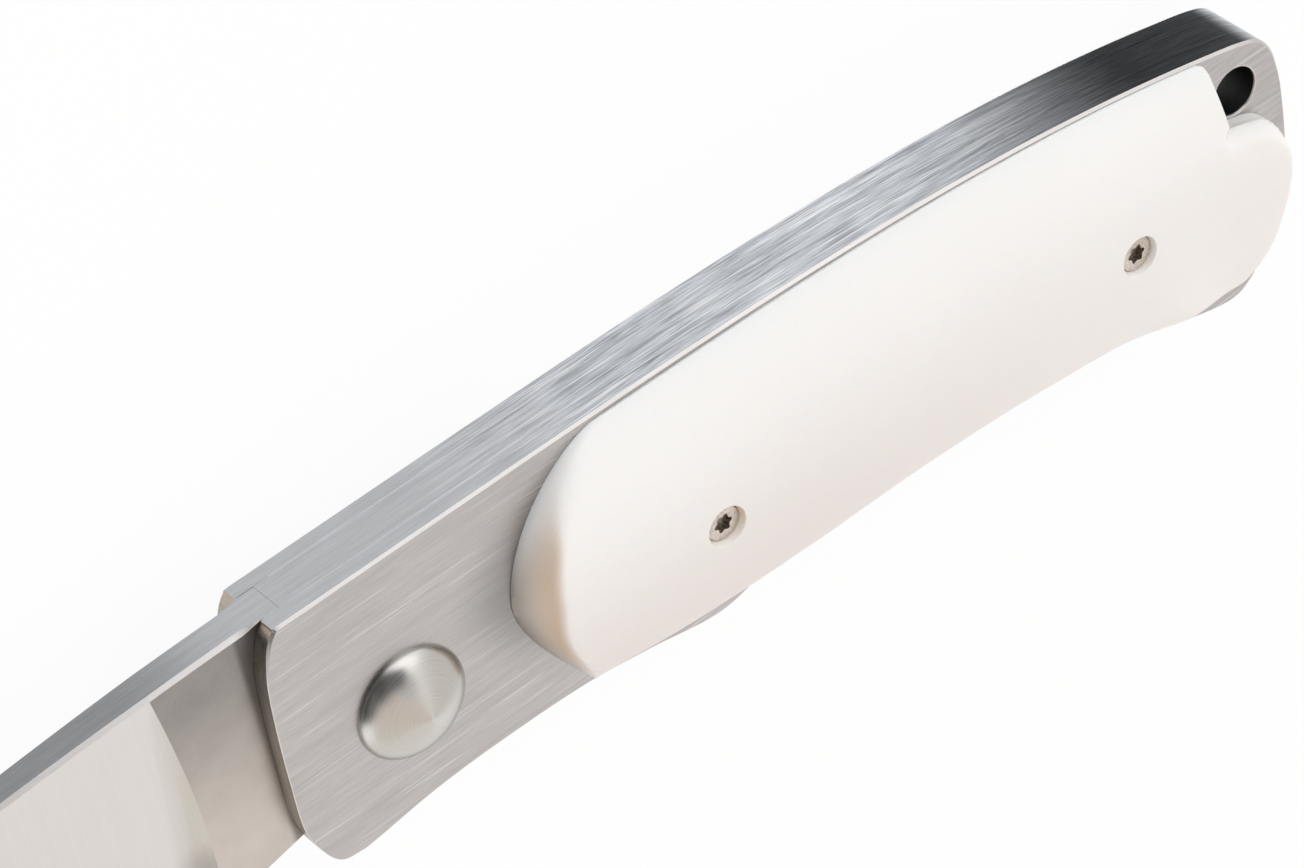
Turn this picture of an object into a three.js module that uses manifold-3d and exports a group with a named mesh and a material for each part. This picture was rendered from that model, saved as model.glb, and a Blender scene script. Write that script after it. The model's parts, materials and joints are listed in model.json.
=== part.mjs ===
// A folding pocket knife with its blade open, lying on its lower scale.
//
// Two flat steel liners sandwich a backspring. The blade turns on a pivot near
// the front of the liners, and the backspring holds it open or closed. A bone
// coloured scale is screwed to the outside of each liner, behind the bare
// steel that the domed pivot heads stand on.
//
// Millimetres. +X runs from the pivot towards the butt, +Y towards the spine
// and +Z up. The sizes below are measured from the pivot's axis, and the
// finished knife is set down on Z = 0 with its outline centred on the origin.

import * as THREE from 'three';
import { ConvexGeometry } from 'three/addons/geometries/ConvexGeometry.js';
import { mergeVertices } from 'three/addons/utils/BufferGeometryUtils.js';
import Module from 'manifold-3d';

const wasm = await Module();
wasm.setup();

// Thicknesses of the sandwich.
const SPRING_THICKNESS = 3;
const LINER_THICKNESS = 1.5;
const SCALE_THICKNESS = 3;
const WASHER_THICKNESS = 0.1;

// Clearances.
const SIDE_CLEARANCE = 0.02;
const TURNING_CLEARANCE = 0.08;
const HOLE_CLEARANCE = 0.08;
const SPRING_CLEARANCE = 0.35;
const EDGE_CLEARANCE = 0.9;

// Length of the blade in front of the pivot, which the handle is made to hold.
const BLADE_TIP = 74;
const TIP_GAP = 1.6;
const BUTT_WALL = 5.8;
const BUTT_END = BLADE_TIP + TIP_GAP + BUTT_WALL;

// Side outline of the handle.
const FRONT_EDGE = 10.3;
const SPINE_HEIGHT = 13.1;
const SPINE_DROP = 6.1;
const SPINE_FLAT = 5;
const SPINE_POWER = 3.2;
const SPINE_END = 3.3;
const BELLY_DEPTH = 8.5;
const CHIN_DEPTH = 9.4;
const GUARD_DEPTH = 10.4;
const GUARD_PLACE = 25;
const WAIST_DEPTH = 9.7;
const HOOK_DEPTH = 15;
const HOOK_FROM_BUTT = 7.4;
const HOOK_PLACE = BUTT_END - HOOK_FROM_BUTT;
const EDGE_CHAMFER = 0.2;

// Pivot.
const PIVOT_RADIUS = 2.5;
const PIVOT_THREAD_RADIUS = 1.4;
const PIVOT_HEAD_RADIUS = 4.4;
const PIVOT_RIM_HEIGHT = 0.45;
const PIVOT_HEAD_HEIGHT = 2.6;
const PIVOT_DOME_POWER = 1.6;
const PIVOT_SOCKET_RADIUS = 1.3;
const PIVOT_SOCKET_DEPTH = 1.2;
const WASHER_RADIUS = 5.6;

// Tang and blade.
const TANG_RADIUS = 8.15;
const TANG_FLAT = 7.9;
const SHOULDER_PLACE = 6.6;
const SHOULDER_GAP = 0.1;
const BLADE_SPINE_DROP = 7.4;
const BLADE_SPINE_POWER = 1.9;
const HEEL_PLACE = 17;
const HEEL_DEPTH = 7.95;
const BLADE_BELLY_POWER = 3.2;
const TIP_HALF_WIDTH = 0.12;
const RICASSO_FRONT_DEPTH = 6.2;
const PLUNGE_PLACE = 16;
const PLUNGE_RUN = 2.2;
const PLUNGE_TOP_LEAN = 1.8;
const BEVEL_TOP = 0.8;
const EDGE_HALF_THICKNESS = 0.16;
const EDGE_BEVEL_WIDTH = 0.7;
const CUTTING_HALF_THICKNESS = 0.02;
const TIP_TAPER = 0.45;
const BLADE_CHAMFER = 0.3;
const NICK_PLACE = 38.5;
const NICK_LENGTH = 12;
const NICK_WIDTH = 1.3;
const NICK_DEPTH = 0.5;
const NICK_BELOW_SPINE = 0.7;

// Backspring.
const SPRING_ARM_UNDERSIDE = 9.1;
const SPRING_TAIL_PLACE = BLADE_TIP + TIP_GAP;

// Pins that hold the backspring between the liners.
const MIDDLE_PIN_RADIUS = 1;
const MIDDLE_PIN_PLACE = 41;
const MIDDLE_PIN_BELOW_SPINE = 2.1;
const REAR_PIN_RADIUS = 1.25;
const REAR_PIN_FROM_BUTT = 12.9;
const REAR_PIN_BELOW_SPINE = 3.9;

// Lanyard hole.
const LANYARD_RADIUS = 1.95;
const LANYARD_FROM_BUTT = 4.3;
const LANYARD_HEIGHT = 3.2;

// Scales.
const SCALE_INSET = 0.6;
const SPINE_REAR_INSET = 0.25;
const HOOK_INSET = 1.8;
const SCALE_FRONT = 9.3;
const SCALE_FRONT_HEIGHT = 1.95;
const SCALE_SHOULDER = 19;
const SCALE_RIDGE = 12.1;
const SCALE_EDGE_WALL = 0.4;
const SCALE_ABOVE_GUARD = 1.55;
const BELLY_ROLL_WIDTH = 5;
const HOOK_ROLL_WIDTH = 3.2;
const BUTT_ROLL_WIDTH = 2.6;
const BUTT_ROLL_FROM_BUTT = 2.4;
const HOOK_ROLL_REACH = 10;
const BUTT_THINNING = 0.8;
const HOOK_THINNING = 1.8;
const THINNING_FROM_BUTT = 23.4;
const CROWN_EDGE = 0.35;
const CROWN_WIDTH = 8.5;
const CROWN_POWER = 1.9;
const NOTCH_WALL_GAP = 0.65;
const NOTCH_CORNER = 0.7;
const LOBE_GAP = 0.45;

// Scale screws.
const SCREW_HEAD_RADIUS = 1.4;
const SCREW_HEAD_HEIGHT = 1.1;
const SCREW_HOLE_RADIUS = 1.65;
const SCREW_THREAD_RADIUS = 1;
const SCREW_SOCKET_RADIUS = 0.85;
const SCREW_SOCKET_DEPTH = 0.6;
const SCREW_SINK = 0.6;
const SCREW_END_GAP = 0.15;
const FRONT_SCREW_PLACE = 25.7;
const FRONT_SCREW_BELOW_MIDDLE = 2;
const REAR_SCREW_FROM_BUTT = 17.1;
const REAR_SCREW_BELOW_MIDDLE = 1.35;

// How finely curves are divided.
const ROUND_STEPS = 32;
const CURVE_STEPS = 4;
const SPINE_STEPS = 18;
const BLADE_STEPS = 16;
const CROWN_STEPS = 6;
const DOME_STEPS = 6;
const LOBE_STEPS = 24;
const SPRING_UNDERSIDE_STEPS = 8;
const UNFOLD_ROUNDS = 60;
const EDGE_KEPT = 0.1;

// Levels above the middle plane of the slot.
const SLOT_HALF = SPRING_THICKNESS / 2;
const LINER_TOP = SLOT_HALF + LINER_THICKNESS;
const SCALE_TOP = LINER_TOP + SCALE_THICKNESS;
const BLADE_HALF = SLOT_HALF - WASHER_THICKNESS - SIDE_CLEARANCE;
const SPRING_UNDERSIDE = TANG_FLAT + SPRING_CLEARANCE;
const LANYARD_PLACE = BUTT_END - LANYARD_FROM_BUTT;
const REAR_PIN_PLACE = BUTT_END - REAR_PIN_FROM_BUTT;
const REAR_SCREW_PLACE = BUTT_END - REAR_SCREW_FROM_BUTT;
const THINNING_PLACE = BUTT_END - THINNING_FROM_BUTT;
const BUTT_ROLL_PLACE = BUTT_END - BUTT_ROLL_FROM_BUTT;

// Height of the spine edge above the pivot's axis.
function spineAt(x) {
  const run = Math.max(0, x - SPINE_FLAT) / (BUTT_END - SPINE_END - SPINE_FLAT);
  return SPINE_HEIGHT - SPINE_DROP * run ** SPINE_POWER;
}

function points2(pairs) {
  return pairs.map(([x, y]) => new THREE.Vector2(x, y));
}

// Place on the belly between the guard, at 0, and the hook, at 1.
function towardsHook(share) {
  return THREE.MathUtils.lerp(GUARD_PLACE, HOOK_PLACE, share);
}

// Lower edge of the handle from the chin behind the front corner to the hook
// at the butt.
const BELLY_POINTS = points2([
  [-FRONT_EDGE + 4.9, -CHIN_DEPTH],
  [0, -BELLY_DEPTH - 0.2],
  [6, -BELLY_DEPTH],
  [13, -BELLY_DEPTH - 0.2],
  [GUARD_PLACE - 6, -GUARD_DEPTH + 0.9],
  [GUARD_PLACE, -GUARD_DEPTH],
  [towardsHook(0.09), -GUARD_DEPTH + 0.5],
  [towardsHook(0.18), -WAIST_DEPTH],
  [towardsHook(0.35), -WAIST_DEPTH],
  [towardsHook(0.51), -WAIST_DEPTH - 0.35],
  [towardsHook(0.63), -WAIST_DEPTH - 0.9],
  [towardsHook(0.76), -WAIST_DEPTH - 1.7],
  [towardsHook(0.85), -HOOK_DEPTH + 2.3],
  [towardsHook(0.92), -HOOK_DEPTH + 0.9],
  [HOOK_PLACE, -HOOK_DEPTH],
]);

// Rear edge of the handle from the hook up to the spine.
const BUTT_POINTS = points2([
  [BUTT_END - 4.6, -HOOK_DEPTH + 0.8],
  [BUTT_END - 2.7, -HOOK_DEPTH + 2.9],
  [BUTT_END - 1.2, -HOOK_DEPTH + 6.2],
  [BUTT_END - 0.3, -5],
  [BUTT_END, 1],
  [BUTT_END - 0.1, 4],
  [BUTT_END - 0.9, 6],
]);

// Front edge of the handle from the chin up to the spine.
const FRONT_POINTS = points2([
  [-FRONT_EDGE + 3.5, -CHIN_DEPTH - 0.05],
  [-FRONT_EDGE + 2, -CHIN_DEPTH + 0.3],
  [-FRONT_EDGE + 0.9, -CHIN_DEPTH + 1.9],
  [-FRONT_EDGE, -CHIN_DEPTH + 5.2],
  [-FRONT_EDGE + 0.1, 2],
  [-FRONT_EDGE + 0.5, SPINE_HEIGHT - 4.6],
  [-FRONT_EDGE + 0.9, SPINE_HEIGHT - 2.7],
  [-FRONT_EDGE + 1.7, SPINE_HEIGHT - 0.9],
]);

// Whole side outline of a liner, counter-clockwise from the chin.
function handleOutline() {
  const start = BELLY_POINTS[0];
  const shape = new THREE.Shape();
  shape.moveTo(start.x, start.y);
  shape.splineThru([...BELLY_POINTS.slice(1), ...BUTT_POINTS]);
  for (let step = 0; step <= SPINE_STEPS; step += 1) {
    const share = step / SPINE_STEPS;
    const x = THREE.MathUtils.lerp(BUTT_END - SPINE_END, -FRONT_EDGE + 3.2, share);
    shape.lineTo(x, spineAt(x));
  }
  shape.splineThru([...FRONT_POINTS].reverse());
  shape.closePath();
  return loopOf(shape);
}

// Points of a closed shape, each once, counter-clockwise.
function loopOf(shape) {
  const loop = [];
  for (const point of shape.getPoints(CURVE_STEPS)) {
    const last = loop[loop.length - 1];
    if (!last || last.distanceTo(point) > 0.02) {
      loop.push(point);
    }
  }
  if (loop[0].distanceTo(loop[loop.length - 1]) < 0.02) {
    loop.pop();
  }
  if (THREE.ShapeUtils.isClockWise(loop)) {
    loop.reverse();
  }
  return loop;
}

// Direction in which each point of a loop moves inwards. Its length makes up for
// the corner at the point.
function inwardDirections(loop) {
  return loop.map((point, index) => {
    const before = loop[(index + loop.length - 1) % loop.length];
    const after = loop[(index + 1) % loop.length];
    const first = point.clone().sub(before).normalize();
    const second = after.clone().sub(point).normalize();
    const normal = new THREE.Vector2(-first.y - second.y, first.x + second.x).normalize();
    const spread = Math.max(0.5, normal.dot(new THREE.Vector2(-first.y, first.x)));
    return normal.divideScalar(spread);
  });
}

// The loop moved inwards, point by point, by a distance or a rule for it. Where
// a corner is too tight for the distance, the points there move less.
function inset(loop, rule) {
  const directions = inwardDirections(loop);
  const distances = loop.map((point) => (typeof rule === 'function' ? rule(point) : rule));
  const place = (index) => {
    return loop[index].clone().addScaledVector(directions[index], distances[index]);
  };
  for (let round = 0; round < UNFOLD_ROUNDS; round += 1) {
    const tight = new Set();
    for (let index = 0; index < loop.length; index += 1) {
      const next = (index + 1) % loop.length;
      const edge = loop[next].clone().sub(loop[index]);
      const moved = place(next).sub(place(index));
      if (moved.dot(edge) < EDGE_KEPT * edge.lengthSq()) {
        for (let near = -2; near <= 3; near += 1) {
          tight.add((index + near + loop.length) % loop.length);
        }
      }
    }
    tight.forEach((index) => {
      distances[index] *= 0.92;
    });
  }
  return loop.map((point, index) => place(index));
}

function ringAt(loop, z) {
  return loop.map((point) => new THREE.Vector3(point.x, point.y, z));
}

// Closed skin through rings of equal length, with flat caps on both ends.
function skin(rings, flatten) {
  const count = rings[0].length;
  const positions = rings.flat().flatMap((point) => [point.x, point.y, point.z]);
  const faces = [];
  for (let ring = 0; ring + 1 < rings.length; ring += 1) {
    for (let index = 0; index < count; index += 1) {
      const next = (index + 1) % count;
      const low = ring * count;
      const high = low + count;
      faces.push([low + index, low + next, high + next]);
      faces.push([low + index, high + next, high + index]);
    }
  }
  const last = (rings.length - 1) * count;
  for (const [a, b, c] of THREE.ShapeUtils.triangulateShape(rings[0].map(flatten), [])) {
    faces.push([c, b, a]);
  }
  for (const [a, b, c] of THREE.ShapeUtils.triangulateShape(rings.at(-1).map(flatten), [])) {
    faces.push([last + a, last + b, last + c]);
  }
  const geometry = new THREE.BufferGeometry();
  geometry.setAttribute('position', new THREE.Float32BufferAttribute(positions, 3));
  geometry.setIndex(faces.flat());
  return geometry;
}

const fromAbove = (point) => new THREE.Vector2(point.x, point.y);
const fromTheEnd = (point) => new THREE.Vector2(point.y, point.z);

// Upright slab between two levels.
function slab(loop, low, high) {
  return skin([ringAt(loop, low), ringAt(loop, high)], fromAbove);
}

// Round bar, ring or dome about a vertical axis, from its half profile.
function turned(pairs, place, segments = ROUND_STEPS) {
  const geometry = new THREE.LatheGeometry(points2(pairs), segments);
  geometry.rotateX(Math.PI / 2);
  geometry.translate(place.x, place.y, 0);
  return geometry;
}

function bar(radius, low, high, place) {
  const profile = [[0, low], [radius, low], [radius, high], [0, high]];
  return turned(profile, place);
}

function toSolid(geometry) {
  const bare = geometry.clone();
  bare.deleteAttribute('normal');
  bare.deleteAttribute('uv');
  const merged = mergeVertices(bare, 1e-5);
  const index = merged.index.array;
  const kept = [];
  for (let at = 0; at < index.length; at += 3) {
    const [a, b, c] = [index[at], index[at + 1], index[at + 2]];
    if (a !== b && b !== c && c !== a) {
      kept.push(a, b, c);
    }
  }
  const turnedOut = signedVolume(merged, kept) < 0 ? flipped(kept) : kept;
  return new wasm.Manifold(new wasm.Mesh({
    numProp: 3,
    vertProperties: new Float32Array(merged.attributes.position.array),
    triVerts: new Uint32Array(turnedOut),
  }));
}

function signedVolume(geometry, index) {
  const position = geometry.attributes.position;
  const corners = [new THREE.Vector3(), new THREE.Vector3(), new THREE.Vector3()];
  let volume = 0;
  for (let at = 0; at < index.length; at += 3) {
    corners.forEach((corner, side) => corner.fromBufferAttribute(position, index[at + side]));
    volume += corners[0].dot(corners[1].clone().cross(corners[2])) / 6;
  }
  return volume;
}

function flipped(index) {
  const turnedIndex = [];
  for (let at = 0; at < index.length; at += 3) {
    turnedIndex.push(index[at + 2], index[at + 1], index[at]);
  }
  return turnedIndex;
}

function toGeometry(solid) {
  const mesh = solid.getMesh();
  const geometry = new THREE.BufferGeometry();
  const positions = new Float32Array(mesh.vertProperties);
  geometry.setAttribute('position', new THREE.BufferAttribute(positions, 3));
  geometry.setIndex(new THREE.BufferAttribute(new Uint32Array(mesh.triVerts), 1));
  geometry.computeVertexNormals();
  return geometry;
}

// The same piece on the other side of the middle plane.
function mirrored(geometry) {
  const other = geometry.clone();
  other.scale(1, 1, -1);
  const index = other.index.array;
  other.setIndex(flipped(index));
  other.computeVertexNormals();
  return other;
}

// Materials.
function finish(color, roughness, metalness) {
  return new THREE.MeshStandardMaterial({ color, roughness, metalness });
}

const LINER_STEEL = () => finish(0xb9b6b3, 0.38, 1);
const SPRING_STEEL = () => finish(0xa9abb0, 0.36, 1);
const BLADE_STEEL = () => finish(0xc4c1bb, 0.3, 1);
const POLISHED_STEEL = () => finish(0xcac5be, 0.2, 1);
const SCREW_STEEL = () => finish(0xbdb8b0, 0.25, 1);
const PIN_STEEL = () => finish(0xb0b0b0, 0.35, 1);
const BRONZE = () => finish(0xb08a4a, 0.4, 1);
const BONE = () => finish(0xf4f0ea, 0.45, 0);

// Places of the round features.
const PIVOT = new THREE.Vector2(0, 0);
const LANYARD = new THREE.Vector2(LANYARD_PLACE, LANYARD_HEIGHT);
const MIDDLE_PIN = new THREE.Vector2(
  MIDDLE_PIN_PLACE,
  spineAt(MIDDLE_PIN_PLACE) - MIDDLE_PIN_BELOW_SPINE,
);
const REAR_PIN = new THREE.Vector2(
  REAR_PIN_PLACE,
  spineAt(REAR_PIN_PLACE) - REAR_PIN_BELOW_SPINE,
);
const FRONT_SCREW = belowMiddle(FRONT_SCREW_PLACE, FRONT_SCREW_BELOW_MIDDLE);
const REAR_SCREW = belowMiddle(REAR_SCREW_PLACE, REAR_SCREW_BELOW_MIDDLE);

// Place of a scale screw, a little below the middle of the handle's height.
function belowMiddle(x, drop) {
  const middle = (spineAt(x) + bellyAt(x)) / 2;
  return new THREE.Vector2(x, middle - drop);
}

// Height of the belly edge, read from its curve.
function bellyAt(x) {
  const samples = new THREE.SplineCurve(BELLY_POINTS).getPoints(200);
  const next = samples.findIndex((sample) => sample.x >= x);
  const after = samples[Math.max(1, next)];
  const before = samples[Math.max(1, next) - 1];
  const share = (x - before.x) / (after.x - before.x);
  return THREE.MathUtils.lerp(before.y, after.y, share);
}

// Liner with a fine chamfer round its outer face.
function linerGeometry(outline) {
  const rings = [
    ringAt(outline, SLOT_HALF),
    ringAt(outline, LINER_TOP - EDGE_CHAMFER),
    ringAt(inset(outline, EDGE_CHAMFER), LINER_TOP),
  ];
  let plate = toSolid(skin(rings, fromAbove));
  const holes = [
    [PIVOT, PIVOT_RADIUS + HOLE_CLEARANCE],
    [LANYARD, LANYARD_RADIUS],
    [MIDDLE_PIN, MIDDLE_PIN_RADIUS + HOLE_CLEARANCE],
    [REAR_PIN, REAR_PIN_RADIUS + HOLE_CLEARANCE],
    [FRONT_SCREW, SCREW_THREAD_RADIUS + HOLE_CLEARANCE],
    [REAR_SCREW, SCREW_THREAD_RADIUS + HOLE_CLEARANCE],
  ];
  for (const [place, radius] of holes) {
    plate = plate.subtract(toSolid(bar(radius, 0, SCALE_TOP, place)));
  }
  return toGeometry(plate);
}

// Heights of the blade's spine and edge at a distance in front of the pivot.
function bladeSpineAt(reach) {
  const share = Math.max(0, reach - SHOULDER_PLACE) / (BLADE_TIP - SHOULDER_PLACE);
  return spineAt(0) - SHOULDER_GAP - BLADE_SPINE_DROP * share ** BLADE_SPINE_POWER;
}

function bladeEdgeAt(reach) {
  if (reach < HEEL_PLACE) {
    const share = (HEEL_PLACE - reach) / (HEEL_PLACE - FRONT_EDGE + 1.3);
    return THREE.MathUtils.lerp(-HEEL_DEPTH, -RICASSO_FRONT_DEPTH, share);
  }
  const share = (reach - HEEL_PLACE) / (BLADE_TIP - HEEL_PLACE);
  const rise = HEEL_DEPTH + bladeSpineAt(BLADE_TIP) - TIP_HALF_WIDTH * 2;
  return -HEEL_DEPTH + rise * share ** BLADE_BELLY_POWER;
}

// Cross-section of the blade, a flat ground wedge beyond the plunge line.
function bladeSection(reach) {
  const top = bladeSpineAt(reach);
  const bottom = bladeEdgeAt(reach);
  const along = (reach - HEEL_PLACE) / (BLADE_TIP - HEEL_PLACE);
  const full = BLADE_HALF * (1 - TIP_TAPER * Math.max(0, along));
  const spineChamfer = Math.min(BLADE_CHAMFER, full / 3, (top - bottom) / 6);
  const bevelTop = top - Math.min(BEVEL_TOP, (top - bottom) / 4);
  const bevelLow = bottom + Math.min(EDGE_BEVEL_WIDTH, (top - bottom) / 4);
  const half = [
    [top, full - spineChamfer],
    [top - spineChamfer, full],
  ];
  const steps = [0, 0.5, 1];
  for (const step of steps) {
    const y = THREE.MathUtils.lerp(bevelTop, bevelLow, step);
    const lean = PLUNGE_PLACE + PLUNGE_TOP_LEAN * (1 - step) ** 2;
    const ground = THREE.MathUtils.smoothstep(reach, lean, lean + PLUNGE_RUN);
    const wedge = THREE.MathUtils.lerp(full, EDGE_HALF_THICKNESS, step);
    half.push([y, THREE.MathUtils.lerp(full, wedge, ground)]);
  }
  const cut = THREE.MathUtils.smoothstep(reach, PLUNGE_PLACE, PLUNGE_PLACE + PLUNGE_RUN);
  half.push([bottom, THREE.MathUtils.lerp(full, CUTTING_HALF_THICKNESS, cut)]);
  const near = half.map(([y, z]) => new THREE.Vector3(-reach, y, z));
  const far = half.map(([y, z]) => new THREE.Vector3(-reach, y, -z)).reverse();
  return [...near, ...far];
}

// Tang behind the ricasso: a shoulder and two flats that the backspring bears
// on, joined by a round back.
function tangLoop() {
  const corner = Math.acos(TANG_FLAT / TANG_RADIUS);
  const shape = new THREE.Shape();
  shape.moveTo(-SHOULDER_PLACE, bladeSpineAt(SHOULDER_PLACE));
  shape.lineTo(-PLUNGE_PLACE + 0.5, bladeSpineAt(PLUNGE_PLACE - 0.5));
  shape.lineTo(-PLUNGE_PLACE + 0.5, bladeEdgeAt(PLUNGE_PLACE - 0.5));
  shape.lineTo(-FRONT_EDGE + 1.3, -RICASSO_FRONT_DEPTH);
  shape.lineTo(-FRONT_EDGE + 3.8, -TANG_FLAT);
  shape.lineTo(TANG_RADIUS * Math.sin(corner), -TANG_FLAT);
  shape.absarc(0, 0, TANG_RADIUS, -Math.PI / 2 + corner, Math.PI / 2 - corner, false);
  shape.lineTo(-SHOULDER_PLACE, TANG_FLAT);
  shape.closePath();
  return loopOf(finer(shape));
}

// The shape with its arcs divided as finely as the round bars.
function finer(shape) {
  const points = shape.getPoints(ROUND_STEPS / 2);
  return new THREE.Shape(points);
}

// Shallow groove for the thumb nail, cut into one side near the blade's spine.
function nailNick() {
  const height = bladeSpineAt(NICK_PLACE) - NICK_BELOW_SPINE;
  const slope = bladeSpineAt(NICK_PLACE + 1) - bladeSpineAt(NICK_PLACE);
  const shape = new THREE.Shape();
  const half = NICK_LENGTH / 2;
  shape.moveTo(-half, 0);
  shape.quadraticCurveTo(0, -NICK_WIDTH * 2, half, 0);
  shape.closePath();
  const groove = slab(loopOf(finer(shape)), -NICK_DEPTH, NICK_DEPTH * 2);
  groove.rotateX(THREE.MathUtils.degToRad(12));
  groove.rotateZ(-Math.atan(slope));
  groove.translate(-NICK_PLACE, height, BLADE_HALF);
  return groove;
}

function bladeGeometry() {
  const reaches = [PLUNGE_PLACE - 0.8];
  for (let step = 0; step <= 4; step += 1) {
    reaches.push(PLUNGE_PLACE + (PLUNGE_RUN + PLUNGE_TOP_LEAN) * (step / 4));
  }
  const start = reaches.at(-1);
  for (let step = 1; step <= BLADE_STEPS; step += 1) {
    reaches.push(start + (BLADE_TIP - start) * Math.sin((step / BLADE_STEPS) * (Math.PI / 2)));
  }
  const blank = toSolid(skin(reaches.map(bladeSection), fromTheEnd));
  const tang = toSolid(slab(tangLoop(), -BLADE_HALF, BLADE_HALF));
  const bore = toSolid(bar(PIVOT_RADIUS + TURNING_CLEARANCE, -SCALE_TOP, SCALE_TOP, PIVOT));
  return toGeometry(blank.add(tang).subtract(bore).subtract(toSolid(nailNick())));
}

// Backspring: it fills the spine between the liners, bears on the tang's flat,
// clears the closed blade and fills the butt behind the closed blade's tip.
function springLoop(outline) {
  const lower = [
    [-SHOULDER_PLACE + SHOULDER_GAP, SPRING_UNDERSIDE],
    [TANG_RADIUS, SPRING_UNDERSIDE],
    [TANG_RADIUS + 4, SPRING_ARM_UNDERSIDE],
  ];
  for (let step = 0; step <= SPRING_UNDERSIDE_STEPS; step += 1) {
    const x = THREE.MathUtils.lerp(HEEL_PLACE + 4, BLADE_TIP, step / SPRING_UNDERSIDE_STEPS);
    const closedEdge = -bladeEdgeAt(x);
    const steepness = 1 + 0.6 * (step / SPRING_UNDERSIDE_STEPS);
    lower.push([x, Math.min(SPRING_ARM_UNDERSIDE, closedEdge + EDGE_CLEARANCE * steepness)]);
  }
  lower.push([SPRING_TAIL_PLACE, -bladeEdgeAt(BLADE_TIP) - 1]);
  lower.push([SPRING_TAIL_PLACE + 0.4, -HOOK_DEPTH + 1.2]);
  const behind = outline.filter((point) => point.y < 0 && point.x > SPRING_TAIL_PLACE + 0.8);
  const above = outline.filter((point) => point.y >= 0 && point.x > -SHOULDER_PLACE);
  const tip = new THREE.Vector2(-SHOULDER_PLACE + SHOULDER_GAP, spineAt(0));
  const loop = [...points2(lower), ...behind, ...above, tip];
  return loopOf(new THREE.Shape(loop));
}

function springGeometry(outline) {
  let spring = toSolid(slab(springLoop(outline), -SLOT_HALF, SLOT_HALF));
  const holes = [
    [LANYARD, LANYARD_RADIUS],
    [MIDDLE_PIN, MIDDLE_PIN_RADIUS + HOLE_CLEARANCE],
    [REAR_PIN, REAR_PIN_RADIUS + HOLE_CLEARANCE],
  ];
  for (const [place, radius] of holes) {
    spring = spring.subtract(toSolid(bar(radius, -SCALE_TOP, SCALE_TOP, place)));
  }
  return toGeometry(spring);
}

// Half profile of a pivot head standing on a liner.
function headProfile() {
  const profile = [];
  for (let step = 0; step <= DOME_STEPS; step += 1) {
    const share = 1 - step / DOME_STEPS;
    const rise = (PIVOT_HEAD_HEIGHT - PIVOT_RIM_HEIGHT) * (1 - share ** PIVOT_DOME_POWER);
    profile.push([PIVOT_HEAD_RADIUS * share, LINER_TOP + PIVOT_RIM_HEIGHT + rise]);
  }
  return profile;
}

// Sleeve with the plain domed head, bored from below for the pivot screw.
function pivotBarrelGeometry() {
  const bore = PIVOT_THREAD_RADIUS + HOLE_CLEARANCE;
  const profile = [
    [0, SLOT_HALF],
    [bore, SLOT_HALF],
    [bore, -LINER_TOP + HOLE_CLEARANCE],
    [PIVOT_RADIUS, -LINER_TOP + HOLE_CLEARANCE],
    [PIVOT_RADIUS, LINER_TOP],
    [PIVOT_HEAD_RADIUS, LINER_TOP],
    ...headProfile(),
  ];
  return toGeometry(toSolid(turned(profile, PIVOT)));
}

// Six-lobed socket prism.
function socket(radius, low, high, place) {
  const loop = [];
  for (let step = 0; step < LOBE_STEPS; step += 1) {
    const angle = (step / LOBE_STEPS) * Math.PI * 2;
    const reach = radius * (0.87 + 0.13 * Math.cos(6 * angle));
    loop.push(new THREE.Vector2(reach * Math.cos(angle), reach * Math.sin(angle)));
  }
  const prism = slab(loop, low, high);
  prism.translate(place.x, place.y, 0);
  return toSolid(prism);
}

// Screw from below with the same domed head, and the socket that turns it.
function pivotScrewGeometry() {
  const profile = [
    [0, -SLOT_HALF + HOLE_CLEARANCE],
    [PIVOT_THREAD_RADIUS, -SLOT_HALF + HOLE_CLEARANCE],
    [PIVOT_THREAD_RADIUS, LINER_TOP],
    [PIVOT_HEAD_RADIUS, LINER_TOP],
    ...headProfile(),
  ];
  const top = LINER_TOP + PIVOT_HEAD_HEIGHT;
  const cut = socket(PIVOT_SOCKET_RADIUS, top - PIVOT_SOCKET_DEPTH, top + 1, PIVOT);
  const screw = toSolid(turned(profile, PIVOT)).subtract(cut);
  return mirrored(toGeometry(screw));
}

function washerGeometry() {
  const hole = PIVOT_RADIUS + HOLE_CLEARANCE;
  const profile = [
    [hole, SLOT_HALF - WASHER_THICKNESS],
    [WASHER_RADIUS, SLOT_HALF - WASHER_THICKNESS],
    [WASHER_RADIUS, SLOT_HALF],
    [hole, SLOT_HALF],
    [hole, SLOT_HALF - WASHER_THICKNESS],
  ];
  return toGeometry(toSolid(turned(profile, PIVOT)));
}

// Points of a cubic curve at one level.
function cubicAt(ends, z) {
  const curve = new THREE.CubicBezierCurve(...points2(ends));
  return ringAt(curve.getPoints(CURVE_STEPS * 2), z);
}

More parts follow.
